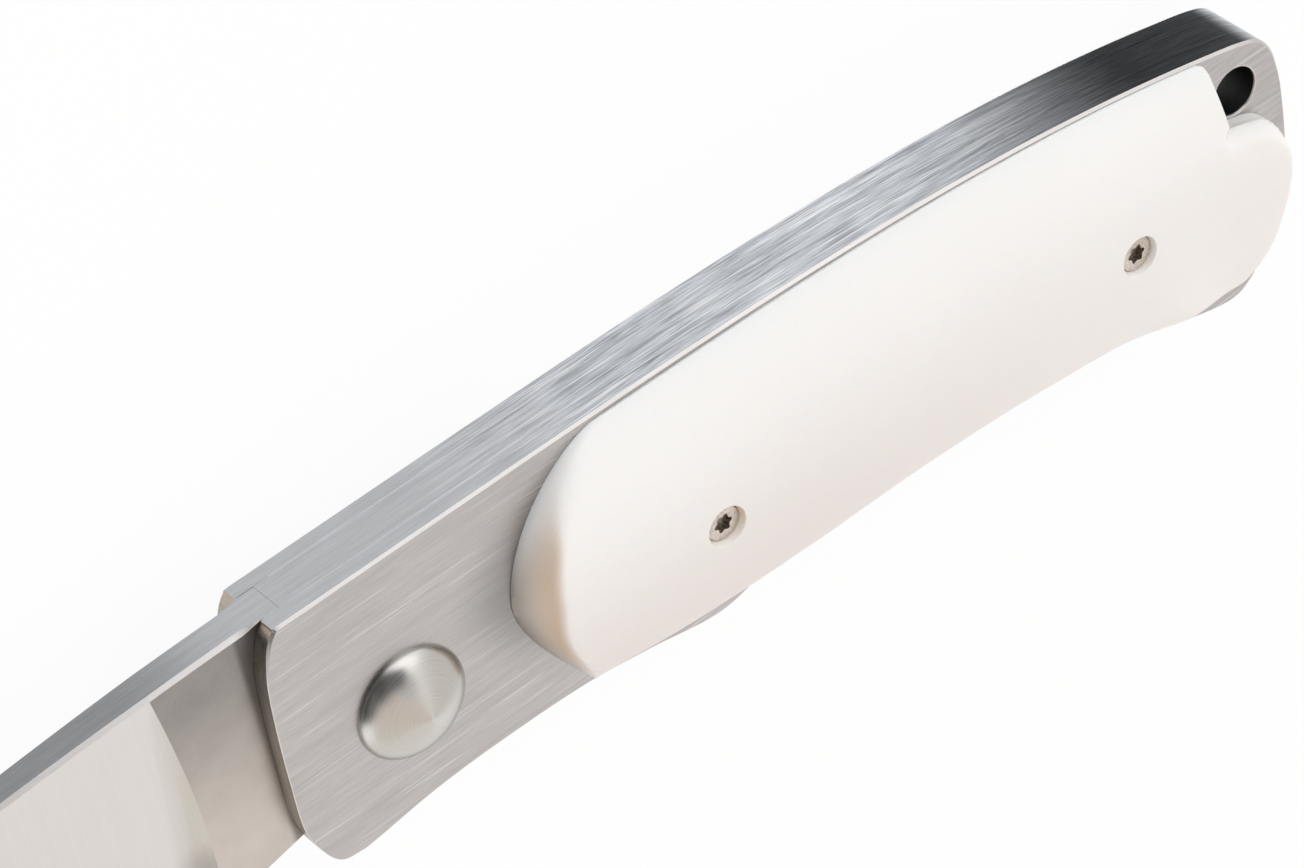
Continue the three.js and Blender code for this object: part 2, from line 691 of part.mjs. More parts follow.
// Solid whose front face is the scale's rounded front end. It rises from the
// curve where the scale meets the liner to the ridge across its upper face.
function scaleFrontSolid() {
  const high = SCALE_TOP + 0.4;
  const mid = SCALE_FRONT_HEIGHT;
  const top = SPINE_HEIGHT - 0.5;
  const low = -BELLY_DEPTH - 3;
  const side = SCALE_FRONT + 6.7;
  const ridge = SCALE_RIDGE + 0.2;
  const upperFoot = [
    [SCALE_SHOULDER, top],
    [SCALE_FRONT + 6, top - 0.4],
    [SCALE_FRONT + 0.6, mid + 5.4],
    [SCALE_FRONT, mid],
  ];
  const lowerFoot = [
    [SCALE_FRONT, mid],
    [SCALE_FRONT, mid - 3.5],
    [SCALE_FRONT + 2.5, mid - 7],
    [side, low],
  ];
  const upperRidge = [
    [SCALE_SHOULDER + 1.5, top],
    [ridge + 4.2, top],
    [ridge + 0.4, mid + 6],
    [ridge, mid + 1],
  ];
  const lowerRidge = [
    [ridge, mid + 1],
    [ridge - 0.5, mid - 3],
    [ridge - 0.4, mid - 7],
    [side + 0.4, low],
  ];
  const pointCloud = [
    ...cubicAt(upperFoot, LINER_TOP),
    ...cubicAt(lowerFoot, LINER_TOP),
    ...cubicAt(upperRidge, high),
    ...cubicAt(lowerRidge, high),
  ];
  for (const z of [LINER_TOP, high]) {
    pointCloud.push(new THREE.Vector3(BUTT_END + 10, top, z));
    pointCloud.push(new THREE.Vector3(BUTT_END + 10, -HOOK_DEPTH - 5, z));
    pointCloud.push(new THREE.Vector3(SCALE_SHOULDER + 3, -HOOK_DEPTH - 5, z));
  }
  return toSolid(new ConvexGeometry(pointCloud));
}

// Height of the crown above the liner. It clears the flat middle of the scale
// and comes down towards the butt.
function scaleHeightAt(x) {
  const run = Math.max(0, x - THINNING_PLACE) / (BUTT_END - THINNING_PLACE);
  return SCALE_THICKNESS + 0.1 - (BUTT_THINNING + 0.1) * run ** 1.5;
}

// Distance between the spine's edge and the scale, less at the butt.
function spineInsetAt(x) {
  const share = THREE.MathUtils.clamp((x - SCALE_SHOULDER) / (HOOK_PLACE - SCALE_SHOULDER), 0, 1);
  return THREE.MathUtils.lerp(SCALE_INSET, SPINE_REAR_INSET, share);
}

// Solid that rolls the scale down towards the spine, and a little towards the
// hook.
function scaleCrownSolid() {
  const rings = [];
  for (let step = 0; step <= SPINE_STEPS; step += 1) {
    const x = THREE.MathUtils.lerp(SCALE_FRONT - 4, BUTT_END + 2, step / SPINE_STEPS);
    const edge = spineAt(x) - spineInsetAt(x);
    const top = scaleHeightAt(x);
    const hooked = THREE.MathUtils.smoothstep(x, HOOK_PLACE - 10, HOOK_PLACE);
    const ring = [
      new THREE.Vector3(x, -HOOK_DEPTH, LINER_TOP - 1),
      new THREE.Vector3(x, edge + 5, LINER_TOP - 1),
      new THREE.Vector3(x, edge + 5, LINER_TOP + CROWN_EDGE),
    ];
    for (let part = 0; part <= CROWN_STEPS; part += 1) {
      const share = part / CROWN_STEPS;
      const rise = (top - CROWN_EDGE) * (1 - (1 - share) ** CROWN_POWER);
      ring.push(new THREE.Vector3(x, edge - CROWN_WIDTH * share, LINER_TOP + CROWN_EDGE + rise));
    }
    ring.push(new THREE.Vector3(x, -HOOK_DEPTH, LINER_TOP + top - HOOK_THINNING * hooked));
    rings.push(ring);
  }
  return toSolid(skin(rings, fromTheEnd));
}

// Upper edge of the scale's rear lobe, from the butt to the notch that clears
// the lanyard hole.
const LOBE_POINTS = points2([
  [BUTT_END - 0.7, LANYARD_HEIGHT - LANYARD_RADIUS - LOBE_GAP - 4.2],
  [BUTT_END - 2, LANYARD_HEIGHT - LANYARD_RADIUS - LOBE_GAP - 2],
  [BUTT_END - 3.1, LANYARD_HEIGHT - LANYARD_RADIUS - LOBE_GAP - 0.7],
  [LANYARD_PLACE, LANYARD_HEIGHT - LANYARD_RADIUS - LOBE_GAP],
  [LANYARD_PLACE - LANYARD_RADIUS, LANYARD_HEIGHT - LANYARD_RADIUS - LOBE_GAP + 0.7],
  [LANYARD_PLACE - LANYARD_RADIUS - NOTCH_WALL_GAP, LANYARD_HEIGHT - LANYARD_RADIUS + 0.6],
]);
const HOOK_CORNER = new THREE.Vector2(BUTT_END - 4, -HOOK_DEPTH + 1.5);

// How near the hook's corner a point is, from 0 to 1.
function nearHook(point) {
  return 1 - THREE.MathUtils.smoothstep(point.distanceTo(HOOK_CORNER), 0, HOOK_ROLL_REACH);
}

// How far in the scale's rolled edge lies at a share of its height. The roll is
// flat round the hook, and short up the butt and along the lobe.
function rollAt(point, share) {
  const hooked = nearHook(point);
  const behind = THREE.MathUtils.smoothstep(point.x, HOOK_PLACE - 6, BUTT_ROLL_PLACE);
  const onButt = point.y > LOBE_POINTS[0].y ? 1 : behind;
  const plain = THREE.MathUtils.lerp(BELLY_ROLL_WIDTH, BUTT_ROLL_WIDTH, onButt);
  const width = THREE.MathUtils.lerp(plain, HOOK_ROLL_WIDTH, hooked);
  const power = THREE.MathUtils.lerp(2, 1.4, hooked);
  return width * (1 - (1 - share ** power) ** (1 / power));
}

// Slab that stands on the liner. Its upper edge is rolled along the belly, the
// butt and the lobe. It is upright at the notch, and along the spine, where the
// crown shapes it. Its lower edge bulges less than the liner's guard.
function scaleBlankSolid(outline) {
  const rim = inset(outline, (point) => {
    return THREE.MathUtils.lerp(SCALE_INSET, HOOK_INSET, nearHook(point));
  });
  const start = SCALE_FRONT - 3;
  const aboveGuard = -GUARD_DEPTH + SCALE_ABOVE_GUARD;
  const curved = rim.filter((point) => {
    return point.x > towardsHook(0.18) && point.y < LOBE_POINTS[0].y - 1;
  });
  const lobe = new THREE.SplineCurve(LOBE_POINTS).getPoints(LOBE_STEPS / 2);
  const rolled = [
    ...points2([
      [start, aboveGuard + 2.1],
      [GUARD_PLACE - 11, aboveGuard + 1.2],
      [GUARD_PLACE - 5, aboveGuard + 0.4],
      [GUARD_PLACE, aboveGuard],
      [GUARD_PLACE + 4.5, aboveGuard - 0.2],
    ]),
    ...curved,
    ...lobe,
  ];
  const wall = lobe.at(-1).x;
  const corner = spineAt(wall) - spineInsetAt(wall);
  const upright = points2([
    [wall, corner - NOTCH_CORNER],
    [wall - NOTCH_CORNER * 0.3, corner - NOTCH_CORNER * 0.3],
  ]);
  for (let step = 0; step <= SPINE_STEPS; step += 1) {
    const x = THREE.MathUtils.lerp(wall - NOTCH_CORNER, start, step / SPINE_STEPS);
    upright.push(new THREE.Vector2(x, spineAt(x) - spineInsetAt(x)));
  }
  const foot = [...rolled, ...upright];
  const rings = [ringAt(foot, LINER_TOP)];
  for (const share of [0, 0.3, 0.6, 0.85, 1]) {
    const moved = inset(foot, (point) => rollAt(point, share));
    const level = LINER_TOP + SCALE_EDGE_WALL + (SCALE_THICKNESS - SCALE_EDGE_WALL) * share;
    const loop = [...moved.slice(0, rolled.length), ...upright];
    loop[rolled.length - 1].x = wall;
    rings.push(ringAt(loop, level));
  }
  return toSolid(skin(rings, fromAbove));
}

// Stepped hole for a scale screw: its head drops in and clamps on the ledge.
function screwHoleSolid(place) {
  const ledge = SCALE_TOP - SCREW_SINK - SCREW_HEAD_HEIGHT;
  const profile = [
    [0, LINER_TOP - 1],
    [SCREW_THREAD_RADIUS + HOLE_CLEARANCE, LINER_TOP - 1],
    [SCREW_THREAD_RADIUS + HOLE_CLEARANCE, ledge],
    [SCREW_HOLE_RADIUS, ledge],
    [SCREW_HOLE_RADIUS, SCALE_TOP + 1],
    [0, SCALE_TOP + 1],
  ];
  return toSolid(turned(profile, place));
}

function scaleGeometry(outline) {
  const scale = scaleBlankSolid(outline)
    .intersect(scaleFrontSolid())
    .intersect(scaleCrownSolid())
    .subtract(screwHoleSolid(FRONT_SCREW))
    .subtract(screwHoleSolid(REAR_SCREW));
  return toGeometry(scale);
}

// Scale screw, threaded into the liner and ending short of the blade's slot.
function scaleScrewGeometry(place) {
  const top = SCALE_TOP - SCREW_SINK;
  const ledge = top - SCREW_HEAD_HEIGHT;
  const profile = [
    [0, SLOT_HALF + SCREW_END_GAP],
    [SCREW_THREAD_RADIUS, SLOT_HALF + SCREW_END_GAP],
    [SCREW_THREAD_RADIUS, ledge],
    [SCREW_HEAD_RADIUS, ledge],
    [SCREW_HEAD_RADIUS, top],
    [0, top],
  ];
  const cut = socket(SCREW_SOCKET_RADIUS, top - SCREW_SOCKET_DEPTH, top + 1, place);
  return toGeometry(toSolid(turned(profile, place, LOBE_STEPS)).subtract(cut));
}

function pinGeometry(radius, place) {
  return toGeometry(toSolid(bar(radius, -LINER_TOP, LINER_TOP, place)));
}

function piece(name, geometry, material) {
  const mesh = new THREE.Mesh(geometry, material);
  mesh.name = name;
  return mesh;
}

const outline = handleOutline();
const liner = linerGeometry(outline);
const scale = scaleGeometry(outline);
const washer = washerGeometry();
const frontScrew = scaleScrewGeometry(FRONT_SCREW);
const rearScrew = scaleScrewGeometry(REAR_SCREW);

const handle = new THREE.Group();
handle.add(piece('top_liner', liner, LINER_STEEL()));
handle.add(piece('bottom_liner', mirrored(liner), LINER_STEEL()));
handle.add(piece('backspring', springGeometry(outline), SPRING_STEEL()));
handle.add(piece('middle_spring_pin', pinGeometry(MIDDLE_PIN_RADIUS, MIDDLE_PIN), PIN_STEEL()));
handle.add(piece('rear_spring_pin', pinGeometry(REAR_PIN_RADIUS, REAR_PIN), PIN_STEEL()));
handle.add(piece('pivot_barrel', pivotBarrelGeometry(), POLISHED_STEEL()));
handle.add(piece('pivot_screw', pivotScrewGeometry(), POLISHED_STEEL()));
handle.add(piece('top_pivot_washer', washer, BRONZE()));
handle.add(piece('bottom_pivot_washer', mirrored(washer), BRONZE()));
handle.add(piece('top_scale', scale, BONE()));
handle.add(piece('bottom_scale', mirrored(scale), BONE()));
handle.add(piece('top_front_scale_screw', frontScrew, SCREW_STEEL()));
handle.add(piece('top_rear_scale_screw', rearScrew, SCREW_STEEL()));
handle.add(piece('bottom_front_scale_screw', mirrored(frontScrew), SCREW_STEEL()));
handle.add(piece('bottom_rear_scale_screw', mirrored(rearScrew), SCREW_STEEL()));

const bladeGroup = new THREE.Group();
bladeGroup.add(piece('blade', bladeGeometry(), BLADE_STEEL()));

const knife = new THREE.Group();
knife.add(handle);
knife.add(bladeGroup);

// Set the knife down on its lower scale, centred on the origin.
const bounds = new THREE.Box3().setFromObject(knife);
const centre = bounds.getCenter(new THREE.Vector3());
knife.position.set(-centre.x, -centre.y, -bounds.min.z);

export default knife;
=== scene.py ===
"""A folding pocket knife with its blade open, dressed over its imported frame.

Every piece is modelled in millimetres round the axis of the blade's pivot, with
the middle plane of the blade's slot at zero. It is then set down in the frame,
in metres, at the place that the frame gives for the pivot.
"""

import json
import logging
import math
from collections.abc import Iterable
from dataclasses import dataclass
from enum import Enum

import bmesh
import bpy
import numpy as np
from mathutils import Matrix, Vector


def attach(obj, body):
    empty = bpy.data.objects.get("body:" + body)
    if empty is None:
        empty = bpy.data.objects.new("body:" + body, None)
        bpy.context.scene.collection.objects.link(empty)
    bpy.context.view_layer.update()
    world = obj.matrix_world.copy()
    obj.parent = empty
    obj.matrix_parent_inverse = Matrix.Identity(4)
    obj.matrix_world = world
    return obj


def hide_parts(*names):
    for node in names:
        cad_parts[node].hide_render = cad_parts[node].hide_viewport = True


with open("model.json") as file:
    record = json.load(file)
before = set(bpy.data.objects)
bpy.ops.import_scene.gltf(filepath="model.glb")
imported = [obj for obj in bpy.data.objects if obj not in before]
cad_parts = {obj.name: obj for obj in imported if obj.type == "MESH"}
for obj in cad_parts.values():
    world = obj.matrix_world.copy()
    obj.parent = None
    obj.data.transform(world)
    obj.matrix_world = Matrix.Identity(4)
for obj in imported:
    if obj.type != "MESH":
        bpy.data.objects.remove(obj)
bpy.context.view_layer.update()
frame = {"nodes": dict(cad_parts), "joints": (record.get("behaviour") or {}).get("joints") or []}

MM = 0.001
PIVOT_PLACE = Vector(frame["joints"][0]["pos_m"])
TO_FRAME = Matrix.Translation(PIVOT_PLACE) @ Matrix.Scale(MM, 4)
FULL_TURN = 2 * math.pi
MERGING = 1e-4
NOISE_RANGE = (0.3, 0.7)

# How the painted shade darkens the handle's edge towards the butt, in millimetres.
BUTT_SHADE_ALONG = (48.5, 70)
BUTT_SHADE_ACROSS = (-4, 2)
BUTT_SHADE_END = (78.4, 80.4)

Point = tuple[float, float]
Pair = tuple[float, float]
Triple = tuple[float, float, float]
Colour = tuple[float, float, float]
Socket = bpy.types.NodeSocket
Mesh = bmesh.types.BMesh

log = logging.getLogger("knife")


class Side(Enum):
    """The two sides of the knife: the upper one, and the one that it lies on."""

    TOP = 1
    BOTTOM = -1

    def named(self, kind: str) -> str:
        """Name of the node of that kind on this side."""
        return f"{self.name.lower()}_{kind}"


class Body(Enum):
    """The two bodies of the frame that a piece may ride on."""

    HANDLE = "handle"
    BLADE = "blade"


@dataclass(frozen=True)
class Hole:
    """A round hole through a plate."""

    x: float
    y: float
    radius: float
    segments: int = 72


def smooth_path(knots: list[Point], cuts: int, closed: bool = False) -> list[Point]:
    """Lay a smooth path through a few knots.

    Args:
        knots: The points that the path runs through.
        cuts: How many steps each stretch between two knots gets.
        closed: Whether the path comes back to its first knot.

    Returns:
        The points of the path, each once.
    """
    count = len(knots)
    stretches = count if closed else count - 1
    path = []
    for start in range(stretches):
        around = [start - 1, start, start + 1, start + 2]
        if closed:
            around = [index % count for index in around]
        else:
            around = [min(max(index, 0), count - 1) for index in around]
        before, here, there, after = (Vector(knots[index]) for index in around)
        leave = (there - before) / 2
        arrive = (after - here) / 2
        for step in range(cuts):
            share = step / cuts
            square, cube = share**2, share**3
            place = (
                (2 * cube - 3 * square + 1) * here
                + (cube - 2 * square + share) * leave
                + (3 * square - 2 * cube) * there
                + (cube - square) * arrive
            )
            path.append((place.x, place.y))
    if not closed:
        path.append(tuple(knots[-1]))
    return path


def ease(value: float, low: float, high: float) -> float:
    """Return 0 below low, 1 above high, and a smooth rise between them."""
    share = min(max((value - low) / (high - low), 0), 1)
    return share * share * (3 - 2 * share)


def blend(first: float, second: float, share: float) -> float:
    """Return the value that lies at a share of the way from first to second."""
    return first + (second - first) * share


def verts_of(made: dict) -> list:
    """Return the vertices among what an operator made."""
    return [item for item in made["geom"] if isinstance(item, bmesh.types.BMVert)]


def grid(bm: Mesh, columns: int, rows: int) -> Iterable:
    """Lay a grid, and yield each of its vertices with its column and its row."""
    bmesh.ops.create_grid(bm, x_segments=columns, y_segments=rows, size=0.5)
    for vert in bm.verts:
        yield vert, round((vert.co.x + 0.5) * columns), round((vert.co.y + 0.5) * rows)


def wire(bm: Mesh, path: list[Point], level: float) -> list:
    """Lay a closed path as vertices and edges at one level.

    Args:
        bm: The mesh that the wire goes into.
        path: The points of the wire.
        level: The height of the wire.

    Returns:
        The edges of the wire.
    """
    verts = [bm.verts.new((x, y, level)) for x, y in path]
    return [bm.edges.new(pair) for pair in zip(verts, verts[1:] + verts[:1])]


def plate(outline: list[Point], holes: list[Hole], low: float, high: float) -> Mesh:
    """Make a flat plate with round holes.

    Args:
        outline: The plate's edge, as a closed path.
        holes: The holes through it.
        low: The level of its underside.
        high: The level of its upper side.

    Returns:
        The plate's mesh.
    """
    bm = bmesh.new()
    edges = wire(bm, outline, low)
    for hole in holes:
        ring = bmesh.ops.create_circle(
            bm,
            segments=hole.segments,
            radius=hole.radius,
            matrix=Matrix.Translation((hole.x, hole.y, low)),
        )
        edges += list({edge for vert in ring["verts"] for edge in vert.link_edges})
    bmesh.ops.triangle_fill(bm, use_beauty=True, edges=edges)
    grown = bmesh.ops.extrude_face_region(bm, geom=bm.faces[:])
    bmesh.ops.translate(bm, vec=(0, 0, high - low), verts=verts_of(grown))
    bmesh.ops.recalc_face_normals(bm, faces=bm.faces[:])
    return bm


def turned(profile: list[Point], segments: int) -> Mesh:
    """Spin a half profile round the upright axis.

    Args:
        profile: Distances from the axis, each with its height.
        segments: How many steps the full turn gets.

    Returns:
        The closed mesh of the turned piece.
    """
    bm = bmesh.new()
    verts = [bm.verts.new((reach, 0, height)) for reach, height in profile]
    edges = [bm.edges.new(pair) for pair in zip(verts, verts[1:])]
    bmesh.ops.spin(
        bm,
        geom=verts + edges,
        cent=(0, 0, 0),
        axis=(0, 0, 1),
        angle=FULL_TURN,
        steps=segments,
        use_merge=True,
    )
    bmesh.ops.remove_doubles(bm, verts=bm.verts[:], dist=MERGING)
    bmesh.ops.recalc_face_normals(bm, faces=bm.faces[:])
    return bm


def rim_edges(bm: Mesh, level: float) -> list:
    """Return the edges at one level where a flat face meets a wall."""
    chosen = []
    for edge in bm.edges:
        at_level = all(abs(vert.co.z - level) < MERGING for vert in edge.verts)
        if at_level and len(edge.link_faces) == 2 and edge.calc_face_angle() > 1:
            chosen.append(edge)
    return chosen


def away_from(edges: list, holes: list[Hole]) -> list:
    """Leave out the edges that lie round some holes.

    Args:
        edges: The edges to pick from.
        holes: The holes.

    Returns:
        The edges that belong to no hole.
    """
    kept = []
    for edge in edges:
        place = edge.verts[0].co.xy
        gaps = [(place - Vector((hole.x, hole.y))).length - hole.radius for hole in holes]
        if min(gaps) > 0.05:
            kept.append(edge)
    return kept


def soften(bm: Mesh, edges: list, width: float, segments: int) -> list:
    """Bevel some edges.

    Args:
        bm: The mesh.
        edges: Its edges to bevel.
        width: How far the bevel reaches from each edge.
        segments: How many faces the bevel has across.

    Returns:
        The bevel's faces.
    """
    made = bmesh.ops.bevel(
        bm,
        geom=edges,
        offset=width,
        offset_type="OFFSET",
        affect="EDGES",
        segments=segments,
        profile=0.5,
        clamp_overlap=False,
        material=-1,
    )
    return made["faces"]


def paint(faces: Iterable, finish: int) -> None:
    """Give some faces the finish of that number."""
    for face in faces:
        face.material_index = finish


def paint_bore_shade(bm: Mesh, finish: int) -> None:
    """Paint the wall of the lanyard hole near-black, as painted shade."""
    centre = Vector((LANYARD.x, LANYARD.y))
    for face in bm.faces:
        near = (face.calc_center_median().xy - centre).length < LANYARD.radius + 0.01
        if near and abs(face.normal.z) < 0.5:
            face.material_index = finish


def paint_butt_shade(bm: Mesh) -> None:
    """Mark the painted shade that darkens the edge of the handle towards the butt."""
    layer = bm.verts.layers.float.new("painted_spine_shade")
    for vert in bm.verts:
        fading = 1 - ease(vert.co.x, *BUTT_SHADE_END)
        along, across = ease(vert.co.x, *BUTT_SHADE_ALONG), ease(vert.co.y, *BUTT_SHADE_ACROSS)
        vert[layer] = along * across * fading


def moved(bm: Mesh, x: float, y: float, z: float = 0) -> Mesh:
    """Move a whole mesh and return it."""
    bmesh.ops.translate(bm, vec=(x, y, z), verts=bm.verts[:])
    return bm


def turned_over(bm: Mesh) -> Mesh:
    """Mirror a mesh in the middle plane of the slot and return it."""
    bmesh.ops.scale(bm, vec=(1, 1, -1), verts=bm.verts[:])
    bmesh.ops.reverse_faces(bm, faces=bm.faces[:])
    return bm


def to_object(bm: Mesh, name: str, slots: int) -> bpy.types.Object:
    """Put a mesh in the scene as an object with some empty material slots."""
    mesh = bpy.data.meshes.new(name)
    bm.to_mesh(mesh)
    bm.free()
    for _ in range(slots):
        mesh.materials.append(None)
    item = bpy.data.objects.new(name, mesh)
    bpy.context.scene.collection.objects.link(item)
    return item


def cut(bm: Mesh, cutters: list) -> Mesh:
    """Cut some solids out of a solid.

    Args:
        bm: The solid, which is used up.
        cutters: The meshes to cut out, which are used up too.

    Returns:
        The mesh that is left.
    """
    slots = 4
    blank = to_object(bm, "blank", slots)
    tools = [to_object(cutter, "cutter", slots) for cutter in cutters]
    for tool in tools:
        modifier = blank.modifiers.new("cut", "BOOLEAN")
        modifier.operation = "DIFFERENCE"
        modifier.solver = "EXACT"
        modifier.object = tool
    bpy.context.view_layer.update()
    evaluated = blank.evaluated_get(bpy.context.evaluated_depsgraph_get())
    result = bmesh.new()
    result.from_mesh(evaluated.to_mesh())
    for item in [blank, *tools]:
        mesh = item.data
        bpy.data.objects.remove(item)
        bpy.data.meshes.remove(mesh)
    return result


@dataclass
class Sandwich:
    """Levels of the handle's layers above the middle plane of the slot."""

    slot_half: float = 1.5
    liner: float = 1.5
    scale: float = 3.0
    washer: float = 0.1
    side_clearance: float = 0.02
    blade_gap: float = 0.025

    @property
    def liner_top(self) -> float:
        """Outer face of a liner."""
        return self.slot_half + self.liner

    @property
    def scale_top(self) -> float:
        """Outer face of a scale."""
        return self.liner_top + self.scale

    @property
    def blade_half(self) -> float:
        """Half of the blade's thickness."""
        return self.slot_half - self.blade_gap

    @property
    def washer_seat(self) -> float:
        """Level of the shallow seats that the washers lie in."""
        return self.slot_half - self.washer - self.side_clearance


@dataclass
class HandleOutline:
    """Side outline that the liners and the backspring share."""

    butt_end: float = 81.4
    front_edge: float = 10.3
    front_turn: float = 2.6
    spine_height: float = 13.1
    spine_drop: float = 6.1
    spine_flat: float = 5
    spine_power: float = 3.2
    spine_end: float = 3.3
    spine_knots: int = 26
    cuts: int = 8
    belly: tuple[Point, ...] = (
        (-5.4, -9.4), (0, -8.7), (6, -8.5), (13, -8.7), (19, -9.55), (25, -10.65),
        (29.41, -9.95), (33.82, -9.7), (42.15, -9.7), (49.99, -10.05), (55.87, -10.6),
        (62.24, -11.4), (66.65, -12.7), (70.08, -14.1), (74, -14.99),
    )
    butt: tuple[Point, ...] = (
        (76.2, -14.2), (78.45, -11.95), (80.05, -8.8), (80.95, -5), (81.4, 0.5), (81.3, 3),
        (80.9, 4.8), (79.9, 6.2),
    )
    front: tuple[Point, ...] = (
        (-8.25, 12.85), (-8.8, 12.1), (-9.35, 10.6), (-9.8, 8.6), (-10.1, 5), (-10.3, 0),
        (-10.3, -4.6), (-9.4, -7.5), (-8.3, -9.1), (-6.8, -9.45),
    )

    def spine_at(self, x: float) -> float:
        """Height of the spine at a place along the handle."""
        run = max(0, x - self.spine_flat) / (self.butt_end - self.spine_end - self.spine_flat)
        return self.spine_height - self.spine_drop * run**self.spine_power

    def loop(self) -> list[Point]:
        """Whole outline, counter-clockwise from the chin."""
        first = self.butt_end - self.spine_end
        last = -self.front_edge + self.front_turn
        spine = []
        for step in range(self.spine_knots + 1):
            x = blend(first, last, step / self.spine_knots)
            spine.append((x, self.spine_at(x)))
        knots = [*self.belly, *self.butt, *spine, *self.front]
        path = smooth_path(knots, self.cuts, closed=True)
        return [(x, min(y, self.spine_height)) for x, y in path]


SANDWICH = Sandwich()
OUTLINE = HandleOutline()
LANYARD = Hole(77.1, 3.2, 1.95)
MIDDLE_PIN = Hole(41, OUTLINE.spine_at(41) - 2.1, 1.08, 32)
REAR_PIN = Hole(68.5, OUTLINE.spine_at(68.5) - 3.9, 1.33, 32)
FRONT_SCREW = Hole(25.7, -0.70, 1.08, 32)
REAR_SCREW = Hole(64.3, -2.35, 1.08, 32)
PIVOT = Hole(0, 0, 2.58)


# Finishes


class Graph:
    """A node tree, with short ways to add to it."""

    def __init__(self, tree: bpy.types.NodeTree) -> None:
        """Work on one tree."""
        self.tree = tree

    def feed(self, socket: Socket, value: object) -> None:
        """Link a socket to another one, or give it a value of its own."""
        if isinstance(value, Socket):
            self.tree.links.new(value, socket)
        else:
            socket.default_value = value

    def add(self, kind: str, feeds: dict | None = None, **settings: object) -> bpy.types.Node:
        """Add a node.

        Args:
            kind: The node's type, without its first word.
            feeds: What each of its inputs gets, a socket or a value.
            **settings: Its properties, which are set before the inputs.

        Returns:
            The node.
        """
        node = self.tree.nodes.new("ShaderNode" + kind)
        for name, value in settings.items():
            setattr(node, name, value)
        for name, value in (feeds or {}).items():
            self.feed(node.inputs[name], value)
        return node

    def maths(self, kind: str, first: object, second: object) -> Socket:
        """Join two values, each a socket or a number, by a sum of that kind."""
        return self.add("Math", {0: first, 1: second}, operation=kind).outputs[0]

    def times(self, first: object, second: object) -> Socket:
        """Multiply two values."""
        return self.maths("MULTIPLY", first, second)

    def plus(self, first: object, second: object) -> Socket:
        """Add two values."""
        return self.maths("ADD", first, second)

    def stretch(self, vector: Socket, sizes: object) -> Socket:
        """Multiply a vector, axis by axis."""
        return self.add("VectorMath", {0: vector, 1: sizes}, operation="MULTIPLY").outputs[0]

    def ramp(self, value: Socket, start: float, end: float, kind: str = "LINEAR") -> Socket:
        """Rise from 0 to 1 between two values."""
        feeds = {"Value": value, "From Min": start, "From Max": end}
        return self.add("MapRange", feeds, interpolation_type=kind).outputs["Result"]

    def span(self, value: Socket, low: float, high: float) -> Socket:
        """Spread a value from 0 to 1 between two limits."""
        feeds = {"Value": value, "To Min": low, "To Max": high}
        return self.add("MapRange", feeds).outputs["Result"]

    def noise(self, vector: Socket, scale: object, detail: float, **feeds: float) -> Socket:
        """Read a noise over some coordinates."""
        feeds = {"Vector": vector, "Scale": scale, "Detail": detail, **feeds}
        return self.add("TexNoise", feeds).outputs["Fac"]

    def tint(self, share: Socket, low: object, high: Colour, amount: object = None) -> Socket:
        """Mix a colour, or an earlier mix, with another colour.

        Args:
            share: How much of the other colour there is, from 0 to 1.
            low: The colour or the earlier mix.
            high: The other colour.
            amount: What the share is multiplied by, if by anything.

        Returns:
            The mix.
        """
        share = share if amount is None else self.times(share, amount)
        below = low if isinstance(low, Socket) else (*low, 1)
        feeds = {"Factor": share, "A": below, "B": (*high, 1)}
        return self.add("Mix", feeds, data_type="RGBA").outputs["Result"]


class SharedGroup(Graph):
    """A node group that several materials share."""

    def __init__(self, name: str, values: dict, outputs: tuple[str, ...]) -> None:
        """Start a group that reads coordinates.

        Args:
            name: Its name.
            values: Its further inputs, with the value that each starts with.
            outputs: The names of the values that it puts out.
        """
        super().__init__(bpy.data.node_groups.new(name, "ShaderNodeTree"))
        self.open_socket("Vector", "INPUT", "Vector")
        for title, value in values.items():
            kind = "Vector" if isinstance(value, tuple) else "Float"
            self.open_socket(title, "INPUT", kind).default_value = value
        for title in outputs:
            self.open_socket(title, "OUTPUT", "Float")
        self.given = self.tree.nodes.new("NodeGroupInput").outputs
        self.asked = self.tree.nodes.new("NodeGroupOutput").inputs

    def open_socket(self, name: str, way: str, kind: str) -> bpy.types.NodeTreeInterfaceSocket:
        """Give the group a named socket."""
        kind = "NodeSocket" + kind
        return self.tree.interface.new_socket(name=name, in_out=way, socket_type=kind)


def streak_group() -> bpy.types.NodeTree:
    """Make the shared node group of straight brush marks.

    Returns:
        A group whose Streak is bright along single marks, whose Tone drifts
        slowly, and whose Scratch picks out a few long scratches.
    """
    group = SharedGroup(
        "brush_marks", {"Stretch": (130, 9000, 9000)}, ("Streak", "Tone", "Scratch")
    )
    marks = group.stretch(group.given["Vector"], group.given["Stretch"])
    fine = group.noise(marks, 1, 3, Roughness=0.6)
    slow = group.noise(marks, 0.23, 2)
    rare = group.noise(group.stretch(marks, (0.3, 0.7, 0.7)), 1, 0)
    group.feed(group.asked["Streak"], group.ramp(fine, *NOISE_RANGE))
    group.feed(group.asked["Tone"], group.ramp(slow, *NOISE_RANGE))
    group.feed(group.asked["Scratch"], group.ramp(rare, 0.68, 0.76))
    return group.tree


def mottle_group() -> bpy.types.NodeTree:
    """Make the shared node group of soft, even mottling.

    Returns:
        A group whose Cloud drifts slowly and whose Speck is fine.
    """
    scales = {"Cloud Scale": 200.0, "Speck Scale": 6000.0}
    group = SharedGroup("mottle", scales, ("Cloud", "Speck"))
    for name, detail in (("Cloud", 3), ("Speck", 2)):
        noise = group.noise(group.given["Vector"], group.given[name + " Scale"], detail)
        group.feed(group.asked[name], group.ramp(noise, *NOISE_RANGE))
    return group.tree


BRUSH_MARKS = streak_group()
MOTTLE = mottle_group()


